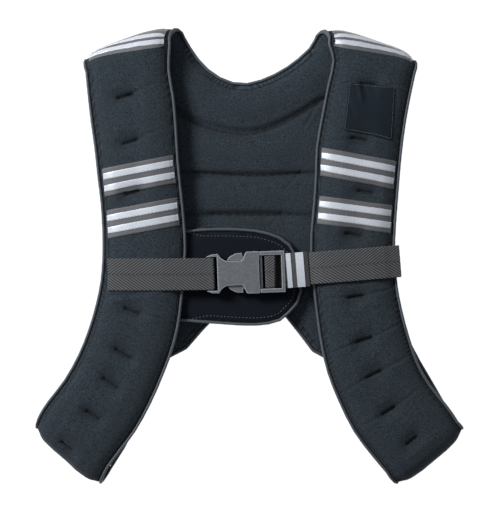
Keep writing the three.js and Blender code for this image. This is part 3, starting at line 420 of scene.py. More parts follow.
def thickened(piece, thickness):
    """Gives a sheet its thickness, inwards from its outer face."""
    solid = piece.modifiers.new("Solidify", "SOLIDIFY")
    solid.thickness = thickness
    solid.offset = -1
    return baked(piece)


def places(mesh):
    co = np.empty(len(mesh.vertices) * 3)
    mesh.vertices.foreach_get("co", co)
    return co.reshape(-1, 3)


def put(mesh, co):
    mesh.vertices.foreach_set("co", np.ascontiguousarray(co, dtype=np.float32).ravel())
    mesh.update()


def vertex_normals(mesh):
    normals = np.empty(len(mesh.vertices) * 3)
    mesh.vertex_normals.foreach_get("vector", normals)
    return normals.reshape(-1, 3)


def neighbours_of(mesh):
    """The two ends of every edge, and how many neighbours each point has."""
    edges = np.empty(len(mesh.edges) * 2, dtype=np.int64)
    mesh.edges.foreach_get("vertices", edges)
    a, b = edges.reshape(-1, 2).T
    count = len(mesh.vertices)
    degree = np.bincount(a, minlength=count) + np.bincount(b, minlength=count)
    return a, b, np.maximum(degree, 1)[:, None]


def relaxed(mesh, rounds, share=0.5):
    """Evens the mesh out by moving each point towards the middle of its neighbours."""
    a, b, degree = neighbours_of(mesh)
    co = places(mesh)
    for _ in range(rounds):
        total = np.zeros_like(co)
        for axis in range(3):
            total[:, axis] = (np.bincount(a, co[b, axis], len(co))
                              + np.bincount(b, co[a, axis], len(co)))
        co += share * (total / degree - co)
    put(mesh, co)


def segment_distance(points, start, end):
    """For flat points: the distance along a segment's middle and across it."""
    along = np.array(end) - np.array(start)
    length = np.linalg.norm(along)
    unit = along / length
    offset = points - (np.array(start) + np.array(end)) / 2
    forward = np.maximum(np.abs(offset @ unit) - length / 2, 0)
    across = np.abs(offset @ np.array((-unit[1], unit[0])))
    return forward, across


def pixel_segment(co, x0, y0, x1, y1):
    """The same for a segment that is given in pixels of the photograph."""
    return segment_distance(co[:, :2], under_pixel(x0, y0), under_pixel(x1, y1))


def bell(gap, width):
    return np.exp(-(gap / width) ** 2)


def line_distance(points, line):
    """The least distance of flat points from a flat line of points."""
    tree = kdtree.KDTree(len(line))
    for i, p in enumerate(line):
        tree.insert((p[0], p[1], 0), i)
    tree.balance()
    return np.array([tree.find((p[0], p[1], 0))[2] for p in points])


def surface_tree(*meshes):
    """A search tree over one or several meshes."""
    work = bmesh.new()
    for mesh in meshes:
        work.from_mesh(mesh)
    tree = BVHTree.FromBMesh(work)
    work.free()
    return tree


def node_tree(*names):
    return surface_tree(*(nodes[name].data for name in names))


def made_tree(*names):
    return surface_tree(*(bpy.data.objects[name].data for name in names))


def gaps_to(tree, co):
    return np.array([tree.find_nearest(Vector(p))[3] for p in co])


def write_values(mesh, name, values):
    """Keeps a value for each point under a name that a material can read."""
    layer = mesh.attributes.new(name, "FLOAT", "POINT")
    layer.data.foreach_set("value", values.astype(np.float32))


def write_weave(mesh, along, across):
    """Keeps how far each point lies along and across the weave, in metres, as a map."""
    layer = mesh.uv_layers.new(name="weave")
    loops = np.empty(len(mesh.loops), dtype=np.int64)
    mesh.loops.foreach_get("vertex_index", loops)
    uv = np.stack([along[loops], across[loops]], axis=1).astype(np.float32)
    layer.data.foreach_set("uv", uv.ravel())


def finish(piece, material, slot, *replaced, smooth=True):
    """Gives a made piece its material and its place in the frame."""
    piece.data.materials.clear()
    piece.data.materials.append(material)
    if smooth:
        piece.data.shade_smooth()
    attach(piece, "root")
    if replaced:
        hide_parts(*replaced)
    return piece


def node(tree, kind, values=None, links=None, **settings):
    """Adds a node with its settings, its input values and its links."""
    made = tree.nodes.new(kind)
    for key, value in settings.items():
        setattr(made, key, value)
    for key, value in (values or {}).items():
        made.inputs[key].default_value = value
    for key, socket in (links or {}).items():
        tree.links.new(socket, made.inputs[key])
    return made


def new_material(name, roughness, **sockets):
    """A material with a shader and its output, and constants on the shader's own sockets."""
    material = bpy.data.materials.new(name)
    material.use_nodes = True
    tree = material.node_tree
    tree.nodes.clear()
    shader = node(tree, "ShaderNodeBsdfPrincipled", {"Roughness": roughness, **sockets})
    node(tree, "ShaderNodeOutputMaterial", links={"Surface": shader.outputs["BSDF"]})
    return material, tree, shader


def shade(colour, factor):
    """A lighter or darker shade of a colour, as a socket takes it."""
    return (*(min(1.0, c * factor) for c in colour), 1)


def noise(tree, place, scale, detail, **more):
    values = {"Scale": scale, "Detail": detail, **more}
    return node(tree, "ShaderNodeTexNoise", values, {"Vector": place}).outputs["Fac"]


def wired(tree, kind, parts, **settings):
    """The result of a node whose inputs are each given a value or linked to a socket."""
    links = {key: part for key, part in parts.items() if isinstance(part, bpy.types.NodeSocket)}
    values = {key: part for key, part in parts.items() if key not in links}
    return node(tree, kind, values, links, **settings).outputs[0]


def blend(tree, share, first, second, **settings):
    """Mixes two colours by a share."""
    parts = {"Fac": share, "Color1": first, "Color2": second}
    return wired(tree, "ShaderNodeMixRGB", parts, **settings)


def spread(tree, value, *limits):
    """Maps a value from one range to another, given as from, from, to and to."""
    words = ("From Min", "From Max", "To Min", "To Max")
    return node(tree, "ShaderNodeMapRange", dict(zip(words, limits)), {"Value": value}).outputs["Result"]


def marked(tree, word):
    return node(tree, "ShaderNodeAttribute", attribute_name=word).outputs["Fac"]


def object_place(tree):
    return node(tree, "ShaderNodeTexCoord").outputs["Object"]


def weave_place(tree):
    return node(tree, "ShaderNodeUVMap", uv_map="weave").outputs["UV"]


def wave(tree, place, direction, scale, **more):
    return node(tree, "ShaderNodeTexWave", {"Scale": scale, **more}, {"Vector": place},
                bands_direction=direction).outputs["Fac"]


def surfaced(tree, shader, colour, height=None, strength=0.0, distance=0.0):
    """Gives the shader its colour and, from a height, its bump."""
    tree.links.new(colour, shader.inputs["Base Color"])
    if height:
        bump = node(tree, "ShaderNodeBump", {"Strength": strength, "Distance": distance}, {"Height": height})
        tree.links.new(bump.outputs["Normal"], shader.inputs["Normal"])


def jersey_neoprene(name, colour):
    """Neoprene faced with a dull knitted jersey: matt, finely grained, with a faint bloom at the edges.

    The knit's loops are 0.4 mm wide on the real cloth, too fine to show, so they are drawn at about
    1.3 mm. The seam attribute darkens the needle line and groove beside the binding, the tack dents
    and the channels with painted shade, and a second attribute lights the raised edge beside the
    binding with a painted highlight.
    """
    material, tree, shader = new_material(name, 0.92, **{"Sheen Weight": 0.04, "Sheen Roughness": 0.5,
                                                        "Specular IOR Level": 0.15})
    place = object_place(tree)
    knit = noise(tree, place, 760, 2, Roughness=0.6)
    loops = spread(tree, knit, 0.34, 0.66)
    grain = blend(tree, loops, shade(colour, 0.45), shade(colour, 1.6))
    cloudy = spread(tree, noise(tree, place, 34, 3), 0.45, 0.75, 0.0, 0.5)
    mottle_and_painted_edge_highlight = blend(tree, cloudy, grain, shade(colour, 0.78))
    # Painted shade in the grooves beside the binding, in the tack dents and along the channels.
    painted_shade = blend(tree, marked(tree, "seam"), mottle_and_painted_edge_highlight, shade(colour, 0.12))
    # Painted highlight on the raised edge beside the binding.
    light = blend(tree, marked(tree, "painted_ridge_highlight"), painted_shade, shade(colour, 1.9))
    surfaced(tree, shader, light, knit, 0.5, 0.35 * MM)
    return material


def woven_binding(name, colour):
    """Folded nylon binding tape: a slightly glossy plain weave that catches light along its fold.

    Its ribs are 0.5 mm apart in the real tape and are drawn at 1.4 mm to show.
    """
    material, tree, shader = new_material(name, 0.68, **{"Sheen Weight": 0.15, "Sheen Roughness": 0.4,
                                                        "Specular IOR Level": 0.35})
    place = object_place(tree)
    patches = blend(tree, noise(tree, place, 60, 2), shade(colour, 0.7), shade(colour, 1.3))
    fine = blend(tree, 0.35, patches, shade(colour, 1.4), blend_type="MULTIPLY")
    surfaced(tree, shader, fine, noise(tree, place, 700, 2), 0.5, 0.3 * MM)
    return material


def grosgrain(name, colour):
    """Woven ribbon with fine crosswise ribs: satin sheen, ribs drawn 1.2 mm apart to show."""
    material, tree, shader = new_material(name, 0.6, **{"Sheen Weight": 0.2, "Specular IOR Level": 0.4})
    ribs = wave(tree, weave_place(tree), "X", 260, Distortion=1.0, Detail=1)
    surfaced(tree, shader, blend(tree, ribs, shade(colour, 0.65), shade(colour, 1.2)), ribs, 0.4, 0.2 * MM)
    return material


def reflective_film(name, colour):
    """Glass-bead reflective film: a smooth silver white with faint lengthwise ribs 1.2 mm apart."""
    material, tree, shader = new_material(name, 0.42, **{"Metallic": 0.15, "Specular IOR Level": 0.5})
    ribs = wave(tree, weave_place(tree), "Y", 260, Distortion=0.6, Detail=2)
    ribbed = blend(tree, ribs, shade(colour, 0.72), shade(colour, 1.0))
    specks = spread(tree, noise(tree, object_place(tree), 900, 2), 0.5, 0.9, 0.0, 0.5)
    surfaced(tree, shader, blend(tree, specks, ribbed, shade(colour, 0.8)), ribs, 0.25, 0.15 * MM)
    return material


def herringbone(name, colour):
    """Polyester webbing in a herringbone weave that turns at its middle line: matt, slightly fuzzy.

    The ribs are 4 mm apart along the belt, as the photograph shows them, with finer threads across.
    An attribute darkens the part that dives behind the lock bar with painted shade.
    """
    material, tree, shader = new_material(name, 0.85, **{"Sheen Weight": 0.05, "Specular IOR Level": 0.2})

    def maths(operation, *parts):
        return wired(tree, "ShaderNodeMath", dict(enumerate(parts)), operation=operation)

    split = node(tree, "ShaderNodeSeparateXYZ", links={"Vector": weave_place(tree)})
    along = split.outputs["X"]
    side = maths("ABSOLUTE", split.outputs["Y"])
    lean = maths("MULTIPLY_ADD", side, -1.45, along)
    counter = maths("MULTIPLY_ADD", side, 0.9, along)
    angle = maths("MULTIPLY", lean, 2 * math.pi / RIB_PITCH)
    fine_angle = maths("MULTIPLY", counter, 2 * math.pi / THREAD_PITCH)
    rib = maths("SINE", angle)
    thread = maths("SINE", fine_angle)
    share = spread(tree, maths("MULTIPLY_ADD", thread, 0.35, rib), -1.3, 1.3)
    woven = blend(tree, share, shade(colour, 0.02), shade(colour, 1.95))
    spine = spread(tree, side, 0.0, 1.6 * MM, 0.55, 0.0)
    lined = blend(tree, spine, woven, shade(colour, 0.5))
    # Painted shade where the free end dives behind the lock bar.
    slot_shaded_weave = blend(tree, marked(tree, "painted_slot_shade"), lined, shade(colour, 0.05))
    surfaced(tree, shader, slot_shaded_weave, share, 0.6, 0.35 * MM)
    return material


def moulded_acetal(name, colour):
    """Moulded acetal plastic with a fine spark-eroded grain: half matt, with a painted highlight on its
    edges.
    """
    material, tree, shader = new_material(name, 0.5, **{"IOR": 1.48})
    place = object_place(tree)
    haze = noise(tree, place, 420, 4, Roughness=0.7)
    mottled = blend(tree, haze, shade(colour, 0.35), shade(colour, 1.75))
    # Painted highlight on the raised edges of the moulding.
    edged = blend(tree, marked(tree, "mottle_and_painted_edge_highlight"), mottled, shade(colour, 3.0))
    rough = node(tree, "ShaderNodeMapRange", {"To Min": 0.42, "To Max": 0.6}, {"Value": haze})
    tree.links.new(rough.outputs["Result"], shader.inputs["Roughness"])
    surfaced(tree, shader, edged, noise(tree, place, 1400, 2), 0.2, 0.1 * MM)
    return material


def sewing_thread(name, colour):
    """Twisted polyester thread: dull, with a faint sheen."""
    material, tree, shader = new_material(name, 0.7, **{"Sheen Weight": 0.05, "Specular IOR Level": 0.2})
    twist = noise(tree, object_place(tree), 500, 1)
    surfaced(tree, shader, blend(tree, twist, shade(colour, 0.6), shade(colour, 1.4)))
    return material


def woven_label(name, colour):
    """Damask label cloth: smooth close weave, nearly black, with a faint diagonal."""
    material, tree, shader = new_material(name, 0.8, **{"Sheen Weight": 0.02, "Specular IOR Level": 0.08})
    place = object_place(tree)
    twill = wave(tree, place, "DIAGONAL", 300, Distortion=0.8)
    ribbed = blend(tree, twill, shade(colour, 0.85), shade(colour, 1.15))
    surfaced(tree, shader, blend(tree, noise(tree, place, 70, 3), ribbed, shade(colour, 0.75)),
             twill, 0.3, 0.15 * MM)
    return material


def finish_of(name, make, *colour):
    """The material of that name, made the first time it is asked for."""
    return bpy.data.materials.get(name) or make(name, *colour)


def held_points(co, edge_gap, tacks, channels):
    """How firmly each point is sewn down: 1 at the binding, the tacks and the channels."""
    held = np.clip(1.3 - edge_gap / (7 * MM), 0, 1)
    for x0, y0, x1, y1 in tacks:
        forward, across = pixel_segment(co, x0, y0, x1, y1)
        held = np.maximum(held, np.clip(1.4 - np.hypot(forward, across) / (5 * MM), 0, 1))
    for line in channels:
        gap = line_distance(co, line)
        held = np.maximum(held, np.clip(1.4 - gap / (5 * MM), 0, 1))
    return held


def puffed(node_name, tacks, channels, edges):
    """Where cloth under pressure puffs a pad to: coarse points and how far each one moves."""
    coarse = remeshed(node_copy(node_name, "puffing"), CLOTH_MESH)
    mesh = coarse.data
    relaxed(mesh, 2)
    start = places(mesh) - vertex_normals(mesh) * 0.6 * MM
    put(mesh, start)
    edge_gap = gaps_to(edges, start)
    held = held_points(start, edge_gap, tacks, channels)
    group = coarse.vertex_groups.new(name="held")
    for i, weight in enumerate(held):
        if weight > 0.02:
            group.add([i], float(weight), "REPLACE")
    cloth = coarse.modifiers.new("Cloth", "CLOTH")
    cloth.settings.use_pressure = True
    cloth.settings.uniform_pressure_force = CLOTH_PRESSURE
    cloth.settings.effector_weights.gravity = 0
    cloth.settings.vertex_group_mass = "held"
    cloth.settings.quality = 4
    cloth.point_cache.frame_start = 1
    cloth.point_cache.frame_end = CLOTH_FRAMES
    scene = bpy.context.scene
    for step in range(1, CLOTH_FRAMES + 1):
        scene.frame_set(step)
    graph = bpy.context.evaluated_depsgraph_get()
    result = coarse.evaluated_get(graph).to_mesh()
    moved = places(result) - start
    coarse.evaluated_get(graph).to_mesh_clear()
    scene.frame_set(1)
    loose(coarse)
    reach = np.linalg.norm(moved, axis=1, keepdims=True)
    cap = sizes().swell
    moved *= np.minimum(1, cap / np.maximum(reach, 1e-9))
    return start, moved


def carried(co, start, moved):
    """Takes the coarse cloth's movement over to finer points."""
    tree = kdtree.KDTree(len(start))
    for i, p in enumerate(start):
        tree.insert(p, i)
    tree.balance()
    result = np.zeros_like(co)
    for i, p in enumerate(co):
        total = 0.0
        for _, j, gap in tree.find_n(p, 5):
            weight = 1 / (gap + 0.5 * MM) ** 2
            result[i] += weight * moved[j]
            total += weight
        result[i] /= total
    return result


def neighbour_mean(mesh, values, rounds):
    """Evens out values of the mesh's points over their neighbours."""
    a, b, degree = neighbours_of(mesh)
    for _ in range(rounds):
        sums = [np.bincount(a, values[b, k], len(values)) + np.bincount(b, values[a, k], len(values))
                for k in range(values.shape[1])]
        total = np.stack(sums, axis=1)
        values = 0.5 * values + 0.5 * total / degree
    return values


def drawn_out(mesh, pads):
    """Draws a binding narrower, level and away from the pad it edges."""
    co = places(mesh)
    away = np.zeros_like(co)
    share = np.zeros(len(co))
    for i, p in enumerate(co):
        spot, _, _, gap = pads.find_nearest(Vector(p))
        away[i, :2] = (p - np.array(spot))[:2]
        share[i] = min(1.0, max(0.0, gap - 0.5 * MM) / BINDING_WIDTH)
    length = np.linalg.norm(away, axis=1, keepdims=True)
    away = neighbour_mean(mesh, away / np.maximum(length, 0.1 * MM), 30)
    length = np.linalg.norm(away, axis=1, keepdims=True)
    near, far = BINDING_SHIFT
    put(mesh, co + away / np.maximum(length, 1e-6) * (near + (far - near) * share)[:, None])


def tucked(mesh, edges):
    """Moves a pad's edge into the fold of the binding beside it."""
    co = places(mesh)
    for i, p in enumerate(co):
        spot, _, _, gap = edges.find_nearest(Vector(p))
        share = min(1.0, 3.2 - gap / (2.2 * MM))
        if share > 0:
            co[i] += (np.array(spot) - p) * share * (1 + 0.5 * MM / max(gap, 0.3 * MM))
    put(mesh, co)


def joined_at_shoulders(mesh, neighbours):
    """Closes the seam between the back panel's top corners and the folded straps."""
    co = places(mesh)
    for i, p in enumerate(co):
        if p[1] < SHOULDER_SEAM_Y or p[2] > SHOULDER_SEAM_TOP:
            continue
        spot, _, _, gap = neighbours.find_nearest(Vector(p))
        share = min(1.0, 3 - gap / (2 * MM))
        if share > 0:
            co[i] += (np.array(spot) - p) * share * 1.15
    put(mesh, co)


def sewn_details(mesh, edges, tacks, creases, channels, seams):
    """Presses tacks, channels, creases and the needle line beside the binding into a pad, and paints shade
    into the tack dents, the channels and the grooves beside the binding, with a painted highlight on the
    raised edge there.
    """
    co = places(mesh)
    normals = vertex_normals(mesh)
    depth = np.zeros(len(co))
    painted_shade = np.zeros(len(co))
    painted_ridge_highlight = np.zeros(len(co))
    upward = np.clip((np.abs(normals[:, 2]) - 0.25) * 3, 0, 1)
    front = normals[:, 2] > 0
    for x0, y0, x1, y1 in tacks:
        forward, across = pixel_segment(co, x0, y0, x1, y1)
        gap = np.hypot(forward, across)
        depth += sizes().tack_depth * bell(gap, 1.5 * MM)
        depth += 1.9 * MM * bell(gap, 7 * MM)
        # Painted shade in the tack's dent and in a wider ring around it.
        painted_shade = np.maximum(painted_shade, 0.9 * bell(gap, 1.3 * MM))
        painted_shade = np.maximum(painted_shade, 0.28 * bell(gap, 5 * MM))
    for x0, y0, x1, y1, deep, width in creases:
        forward, across = pixel_segment(co, x0, y0, x1, y1)
        fade = bell(forward, 4 * MM)
        fold = bell(across, width * 0.5 * MM) - 0.4 * bell(across - width * MM, width * 0.7 * MM)
        depth += front * deep * MM * fade * fold
    for line in channels:
        gap = line_distance(co, line)
        depth += 1.2 * MM * bell(gap, 1.5 * MM)
        # Painted shade along the channel's groove and on either side of it.
        painted_shade = np.maximum(painted_shade, 0.85 * bell(gap, 1.1 * MM))
        painted_shade = np.maximum(painted_shade, 0.22 * bell(gap, 5 * MM))
    edge_gap = gaps_to(edges, co) / MM
    for middle, width, press, shadow, light in seams:
        shape = bell(edge_gap - middle, width)
        depth += press * MM * shape
        # Painted shade in the grooves beside the binding, painted highlight on the raised edge between them.
        painted_shade = np.maximum(painted_shade, shadow * shape)
        painted_ridge_highlight = np.maximum(painted_ridge_highlight, light * shape)
    co -= normals * (depth * upward)[:, None]
    put(mesh, co)
    # The seam attribute holds the painted shade, the next one the painted highlight.
    write_values(mesh, "seam", painted_shade)
    write_values(mesh, "painted_ridge_highlight", painted_ridge_highlight)


def slid_over_fold(place):
    """Slides a point round the shoulder fold, so that the ribbon lies more level than the fold's crest."""
    table = LEFT_STRAP if place.x < 0 else RIGHT_STRAP
    outer = flat(table[1][0], table[1][1])
    inner = flat(table[1][2], table[1][3])
    along = inner - outer
    share = (Vector(place[:2]) - outer).dot(along) / along.length_squared
    forward = Vector((-along.y, along.x)).normalized() * (1 if place.x < 0 else -1)
    start = outer + along * share
    reach = (Vector(place[:2]) - start).dot(forward)
    run = reach if reach < 0 else FOLD_RADIUS * math.atan2(reach, place.z - FOLD_RADIUS)
    run += FOLD_SLIDE[0] + (FOLD_SLIDE[1] - FOLD_SLIDE[0]) * share
    if run < 0:
        spot, height = start + forward * run, 2 * FOLD_RADIUS
    else:
        spot = start + forward * FOLD_RADIUS * math.sin(run / FOLD_RADIUS)
        height = FOLD_RADIUS + FOLD_RADIUS * math.cos(run / FOLD_RADIUS)
    return Vector((spot.x, spot.y, height))


def top_sheet(node_name, carrier, lift, splits, slide=None):
    """The outward face of a thin solid as a finely divided sheet that lies on its carrier."""
    mesh = nodes[node_name].data.copy()
    mesh.materials.clear()
    work = bmesh.new()
    work.from_mesh(mesh)
    bmesh.ops.remove_doubles(work, verts=work.verts, dist=WELD)
    work.normal_update()
    inner = []
    for face in work.faces:
        middle = face.calc_center_median()
        _, out, _, gap = carrier.find_nearest(middle)
        if face.normal.dot(out) < 0.5:
            inner.append(face)
    bmesh.ops.delete(work, geom=inner, context="FACES")
    for _ in range(splits):
        long_edges = [e for e in work.edges if e.calc_length() > 2.2 * MM]
        bmesh.ops.subdivide_edges(work, edges=long_edges, cuts=1, use_grid_fill=True)
    for vert in work.verts:
        if slide:
            vert.co = slide(vert.co)
        spot, out, _, _ = carrier.find_nearest(vert.co)
        vert.co = spot + out * lift
    work.normal_update()
    work.to_mesh(mesh)
    work.free()
    for layer in list(mesh.uv_layers):
        mesh.uv_layers.remove(layer)
    return mesh


def lay_weave(mesh, angle):
    """A map in metres along and across a ribbon, carried over a fold by its height."""
    co = places(mesh)
    along = co[:, 0] * math.cos(angle) + co[:, 1] * math.sin(angle)
    across = -co[:, 0] * math.sin(angle) + co[:, 1] * math.cos(angle) - co[:, 2]
    write_weave(mesh, along, across)


def direction_of(mesh):
    """The angle of a ribbon's longest direction, seen from above."""
    co = places(mesh)[:, :2]
    co = co - co.mean(axis=0)
    _, axes = np.linalg.eigh(co.T @ co)
    x, y = axes[:, 1]
    return math.atan2(y, x) if x > 0 else math.atan2(-y, -x)


def stitch_tree(material):
    """Geometry Nodes for a row of stitches along a curve."""
    tree = bpy.data.node_groups.new("Stitch row", "GeometryNodeTree")
    face = tree.interface
    face.new_socket("Geometry", in_out="INPUT", socket_type="NodeSocketGeometry")
    for word, default in (("Pitch", 2.6 * MM), ("Length", 2 * MM), ("Thickness", 0.7 * MM)):
        socket = face.new_socket(word, in_out="INPUT", socket_type="NodeSocketFloat")
        socket.default_value = default
    face.new_socket("Geometry", in_out="OUTPUT", socket_type="NodeSocketGeometry")
    given = node(tree, "NodeGroupInput")
    spaced = node(tree, "GeometryNodeResampleCurve", links={"Curve": given.outputs["Geometry"],
                                                            "Length": given.outputs["Pitch"]},
                  mode="LENGTH")
    bead = node(tree, "GeometryNodeMeshUVSphere", {"Segments": 6, "Rings": 4, "Radius": 0.5})
    turned = node(tree, "FunctionNodeAlignRotationToVector",
                  links={"Vector": node(tree, "GeometryNodeInputTangent").outputs["Tangent"]},
                  axis="X")
    size = node(tree, "ShaderNodeCombineXYZ", links={"X": given.outputs["Length"],
                                                     "Y": given.outputs["Thickness"],
                                                     "Z": given.outputs["Thickness"]})
    row = node(tree, "GeometryNodeInstanceOnPoints",
               links={"Points": spaced.outputs["Curve"], "Instance": bead.outputs["Mesh"],
                      "Rotation": turned.outputs["Rotation"], "Scale": size.outputs["Vector"]})
    real = node(tree, "GeometryNodeRealizeInstances", links={"Geometry": row.outputs["Instances"]})
    done = node(tree, "GeometryNodeSetMaterial", {"Material": material},
                {"Geometry": real.outputs["Geometry"]})
    node(tree, "NodeGroupOutput", links={"Geometry": done.outputs["Geometry"]})
    return tree


def stitched(name, lines, material, slot, pitch, length, thickness):
    """Rows of stitches along lines of points in space, as one plain mesh."""
    curve = bpy.data.curves.new(name, "CURVE")
    curve.dimensions = "3D"
    for points in lines:
        spline = curve.splines.new("POLY")
        spline.points.add(len(points) - 1)
        for knot, point in zip(spline.points, points):
            knot.co = (*point, 1)
    helper = shown(name + "_path", curve)
    tree = bpy.data.node_groups.get("Stitch row") or stitch_tree(material)
    row = helper.modifiers.new("Stitch row", "NODES")
    row.node_group = tree
    wanted = {"Pitch": pitch, "Length": length, "Thickness": thickness}
    for item in tree.interface.items_tree:
        if item.in_out == "INPUT" and item.name in wanted:
            row[item.identifier] = wanted[item.name]
    graph = bpy.context.evaluated_depsgraph_get()
    mesh = bpy.data.meshes.new_from_object(helper.evaluated_get(graph))
    helper.modifiers.clear()
    bpy.data.objects.remove(helper)
    bpy.data.curves.remove(curve)
    return finish(shown(name, mesh), material, slot)


def dropped(points, tree, lift):
    """Flat points dropped from above onto a surface; points that miss it are left out."""
    landed = []
    for p in points:
        spot, out, _, _ = tree.ray_cast(Vector((p[0], p[1], 0.2)), Vector((0, 0, -1)))
        if spot is not None:
            landed.append(spot + out * lift)
    return landed


class VEST_OT_padded_body(bpy.types.Operator):
    """Make the padded neoprene panels, puffed by cloth simulation and pressed in where they are sewn"""

    bl_idname = "vest.padded_body"
    bl_label = "Padded body"

    def execute(self, context):
        neoprene = finish_of("Jersey-faced neoprene", jersey_neoprene, sizes().neoprene)
        # The guard pad takes a darker copy of the neoprene, at the guard's shares of its colour.
        darker_guard_colour = [c * k for c, k in zip(sizes().neoprene, GUARD_SHARES)]
        darker_guard_finish = finish_of("Plush-faced guard", jersey_neoprene, darker_guard_colour)
        edges = made_tree(*(name + "_folded" for name in BINDINGS))
        channels = [smooth_line([under_pixel(*p) for p in line])
                    for line in (YOKE_SEAM, UPPER_CHANNEL, LOWER_CHANNEL)]
        details = {
            "back_panel": ((), BACK_CREASES, channels),
            "front_strap_left": (LEFT_TACKS, LEFT_CREASES, ()),
            "front_strap_right": (RIGHT_TACKS, RIGHT_CREASES, ()),
            "guard_pad": ((), (), ()),
        }
        for name, voxel in PADS.items():
            tacks, creases, lines = details.get(name, ((), (), ()))
            piece = remeshed(node_copy(name, name + "_padded"), voxel)
            relaxed(piece.data, 6)
            if name in SHOULDER_SEAMS:
                joined_at_shoulders(piece.data, node_tree(*SHOULDER_SEAMS[name]))
            tucked(piece.data, edges)
            relaxed(piece.data, 1)
            if name != "guard_pad":
                start, moved = puffed(name, tacks, lines, edges)
                put(piece.data, places(piece.data) + carried(places(piece.data), start, moved))
            sewn_details(piece.data, edges, tacks, creases, lines, SEAMS.get(name, STRAP_SEAMS))
            co = places(piece.data)
            co[:, 2] = np.maximum(co[:, 2], 0.2 * MM)
            put(piece.data, co)
            finish(piece, darker_guard_finish if name == "guard_pad" else neoprene, "neoprene", name)
        return {"FINISHED"}


class VEST_OT_bindings(bpy.types.Operator):
    """Make the rounded edge bindings"""

    bl_idname = "vest.bindings"
    bl_label = "Edge bindings"

    def execute(self, context):
        tape = finish_of("Folded nylon binding", woven_binding, sizes().binding)
        pads = node_tree(*PADS)
        for name in BINDINGS:
            piece = remeshed(node_copy(name, name + "_folded"), BINDING_MESH)
            relaxed(piece.data, 4)
            drawn_out(piece.data, pads)
            finish(piece, tape, "binding", name)
        return {"FINISHED"}


class VEST_OT_ribbons(bpy.types.Operator):
    """Lay the ribbons and their reflective stripes over the straps"""

    bl_idname = "vest.ribbons"
    bl_label = "Ribbons and stripes"

    def execute(self, context):
        ribbon = finish_of("Grosgrain ribbon", grosgrain, sizes().ribbon)
        film = finish_of("Reflective film", reflective_film, sizes().reflective)
        for side in ("left", "right"):
            carrier = made_tree(f"front_strap_{side}_padded")
            for tape in (f"chest_tape_upper_{side}", f"chest_tape_lower_{side}", f"shoulder_tape_{side}"):
                self.lay(tape, tape + "_woven", carrier, RIBBON_LIFT, ribbon, "ribbon")
                for stripe in ("upper", "lower"):
                    made = f"{tape}_stripe_{stripe}"
                    self.lay(made, made + "_film", carrier, STRIPE_LIFT, film, "reflective")
        return {"FINISHED"}

    def lay(self, source, name, carrier, lift, material, slot):
        mesh = top_sheet(source, carrier, lift, 6, slid_over_fold if "shoulder" in source else None)
        relaxed(mesh, 1)
        lay_weave(mesh, direction_of(mesh))
        finish(thickened(shown(name, mesh), sizes().tape_thickness), material, slot, source)


class VEST_OT_label(bpy.types.Operator):
    """Lay the bare label patch on the right strap"""

    bl_idname = "vest.label"
    bl_label = "Label patch"

    def execute(self, context):
        cloth = finish_of("Damask label cloth", woven_label, linear("131a21"))
        carrier = made_tree("front_strap_right_padded")
        mesh = top_sheet("label_patch", carrier, LABEL_LIFT, 6)
        relaxed(mesh, 2)
        co = places(mesh)
        for x0, y0, x1, y1, rise, width in LABEL_FOLDS:
            forward, across = pixel_segment(co, x0, y0, x1, y1)
            co[:, 2] += rise * MM * np.exp(-(forward / (4 * MM)) ** 2 - (across / (width * MM)) ** 2)
        put(mesh, co)
        piece = thickened(shown("label_patch_sewn", mesh), LABEL_THICKNESS)
        finish(piece, cloth, "label", "label_patch")
        thread = finish_of("Slate polyester thread", sewing_thread, linear("424b54"))
        top = surface_tree(piece.data)
        border = smooth_line([under_pixel(*p) for p in LABEL_BORDER], 1 * MM)
        stitched("label_stitches", [dropped(border, top, STITCH_LIFT)], thread, "label",
                 *LABEL_STITCH)
        return {"FINISHED"}


class VEST_OT_belt(bpy.types.Operator):
    """Make the webbing belt and its keeper"""

    bl_idname = "vest.belt"
    bl_label = "Belt and keeper"

    def execute(self, context):
        webbing = finish_of("Herringbone webbing", herringbone, sizes().webbing)
        middle = smooth_line([flat(*p) for p in BELT_LINE], 1 * MM)
        xs = np.array([p.x for p in middle])
        ys = np.array([p.y for p in middle])
        for name in ("webbing_left", "webbing_right"):
            piece = remeshed(node_copy(name, name + "_woven"), WEBBING_MESH)
            relaxed(piece.data, 3)
            mesh = piece.data
            co = places(mesh)
            if name == "webbing_right":
                start, end, depth = SLOT_DIP
                dip = (np.clip((co[:, 0] - start) / (1.2 * MM), 0, 1)
                       * np.clip((end - co[:, 0]) / (1.2 * MM), 0, 1))
                co[:, 2] -= depth * dip * dip * (3 - 2 * dip)
                put(mesh, co)
                # Painted shade over the part that dives behind the lock bar.
                write_values(mesh, "painted_slot_shade", dip * 0.85)
            write_weave(mesh, co[:, 0], co[:, 1] - np.interp(co[:, 0], xs, ys))
            finish(piece, webbing, "webbing", name)
        ribbon = finish_of("Elastic keeper", grosgrain, [c * 0.4 for c in sizes().ribbon])
        film = finish_of("Reflective film", reflective_film, sizes().reflective)
        for name, material, slot in (("keeper", ribbon, "ribbon"), ("keeper_stripe_1", film, "reflective"),
                                     ("keeper_stripe_2", film, "reflective")):
            piece = node_copy(name, name + "_made")
            bevel = piece.modifiers.new("Bevel", "BEVEL")
            bevel.width = 0.25 * MM
            bevel.segments = 2
            bevel.limit_method = "ANGLE"
            bevel.angle_limit = math.radians(40)
            baked(piece)
            lay_weave(piece.data, 0.08)
            finish(piece, material, slot, name, smooth=False)
            piece.data.set_sharp_from_angle(angle=math.radians(35))
            piece.data.shade_smooth()
        return {"FINISHED"}


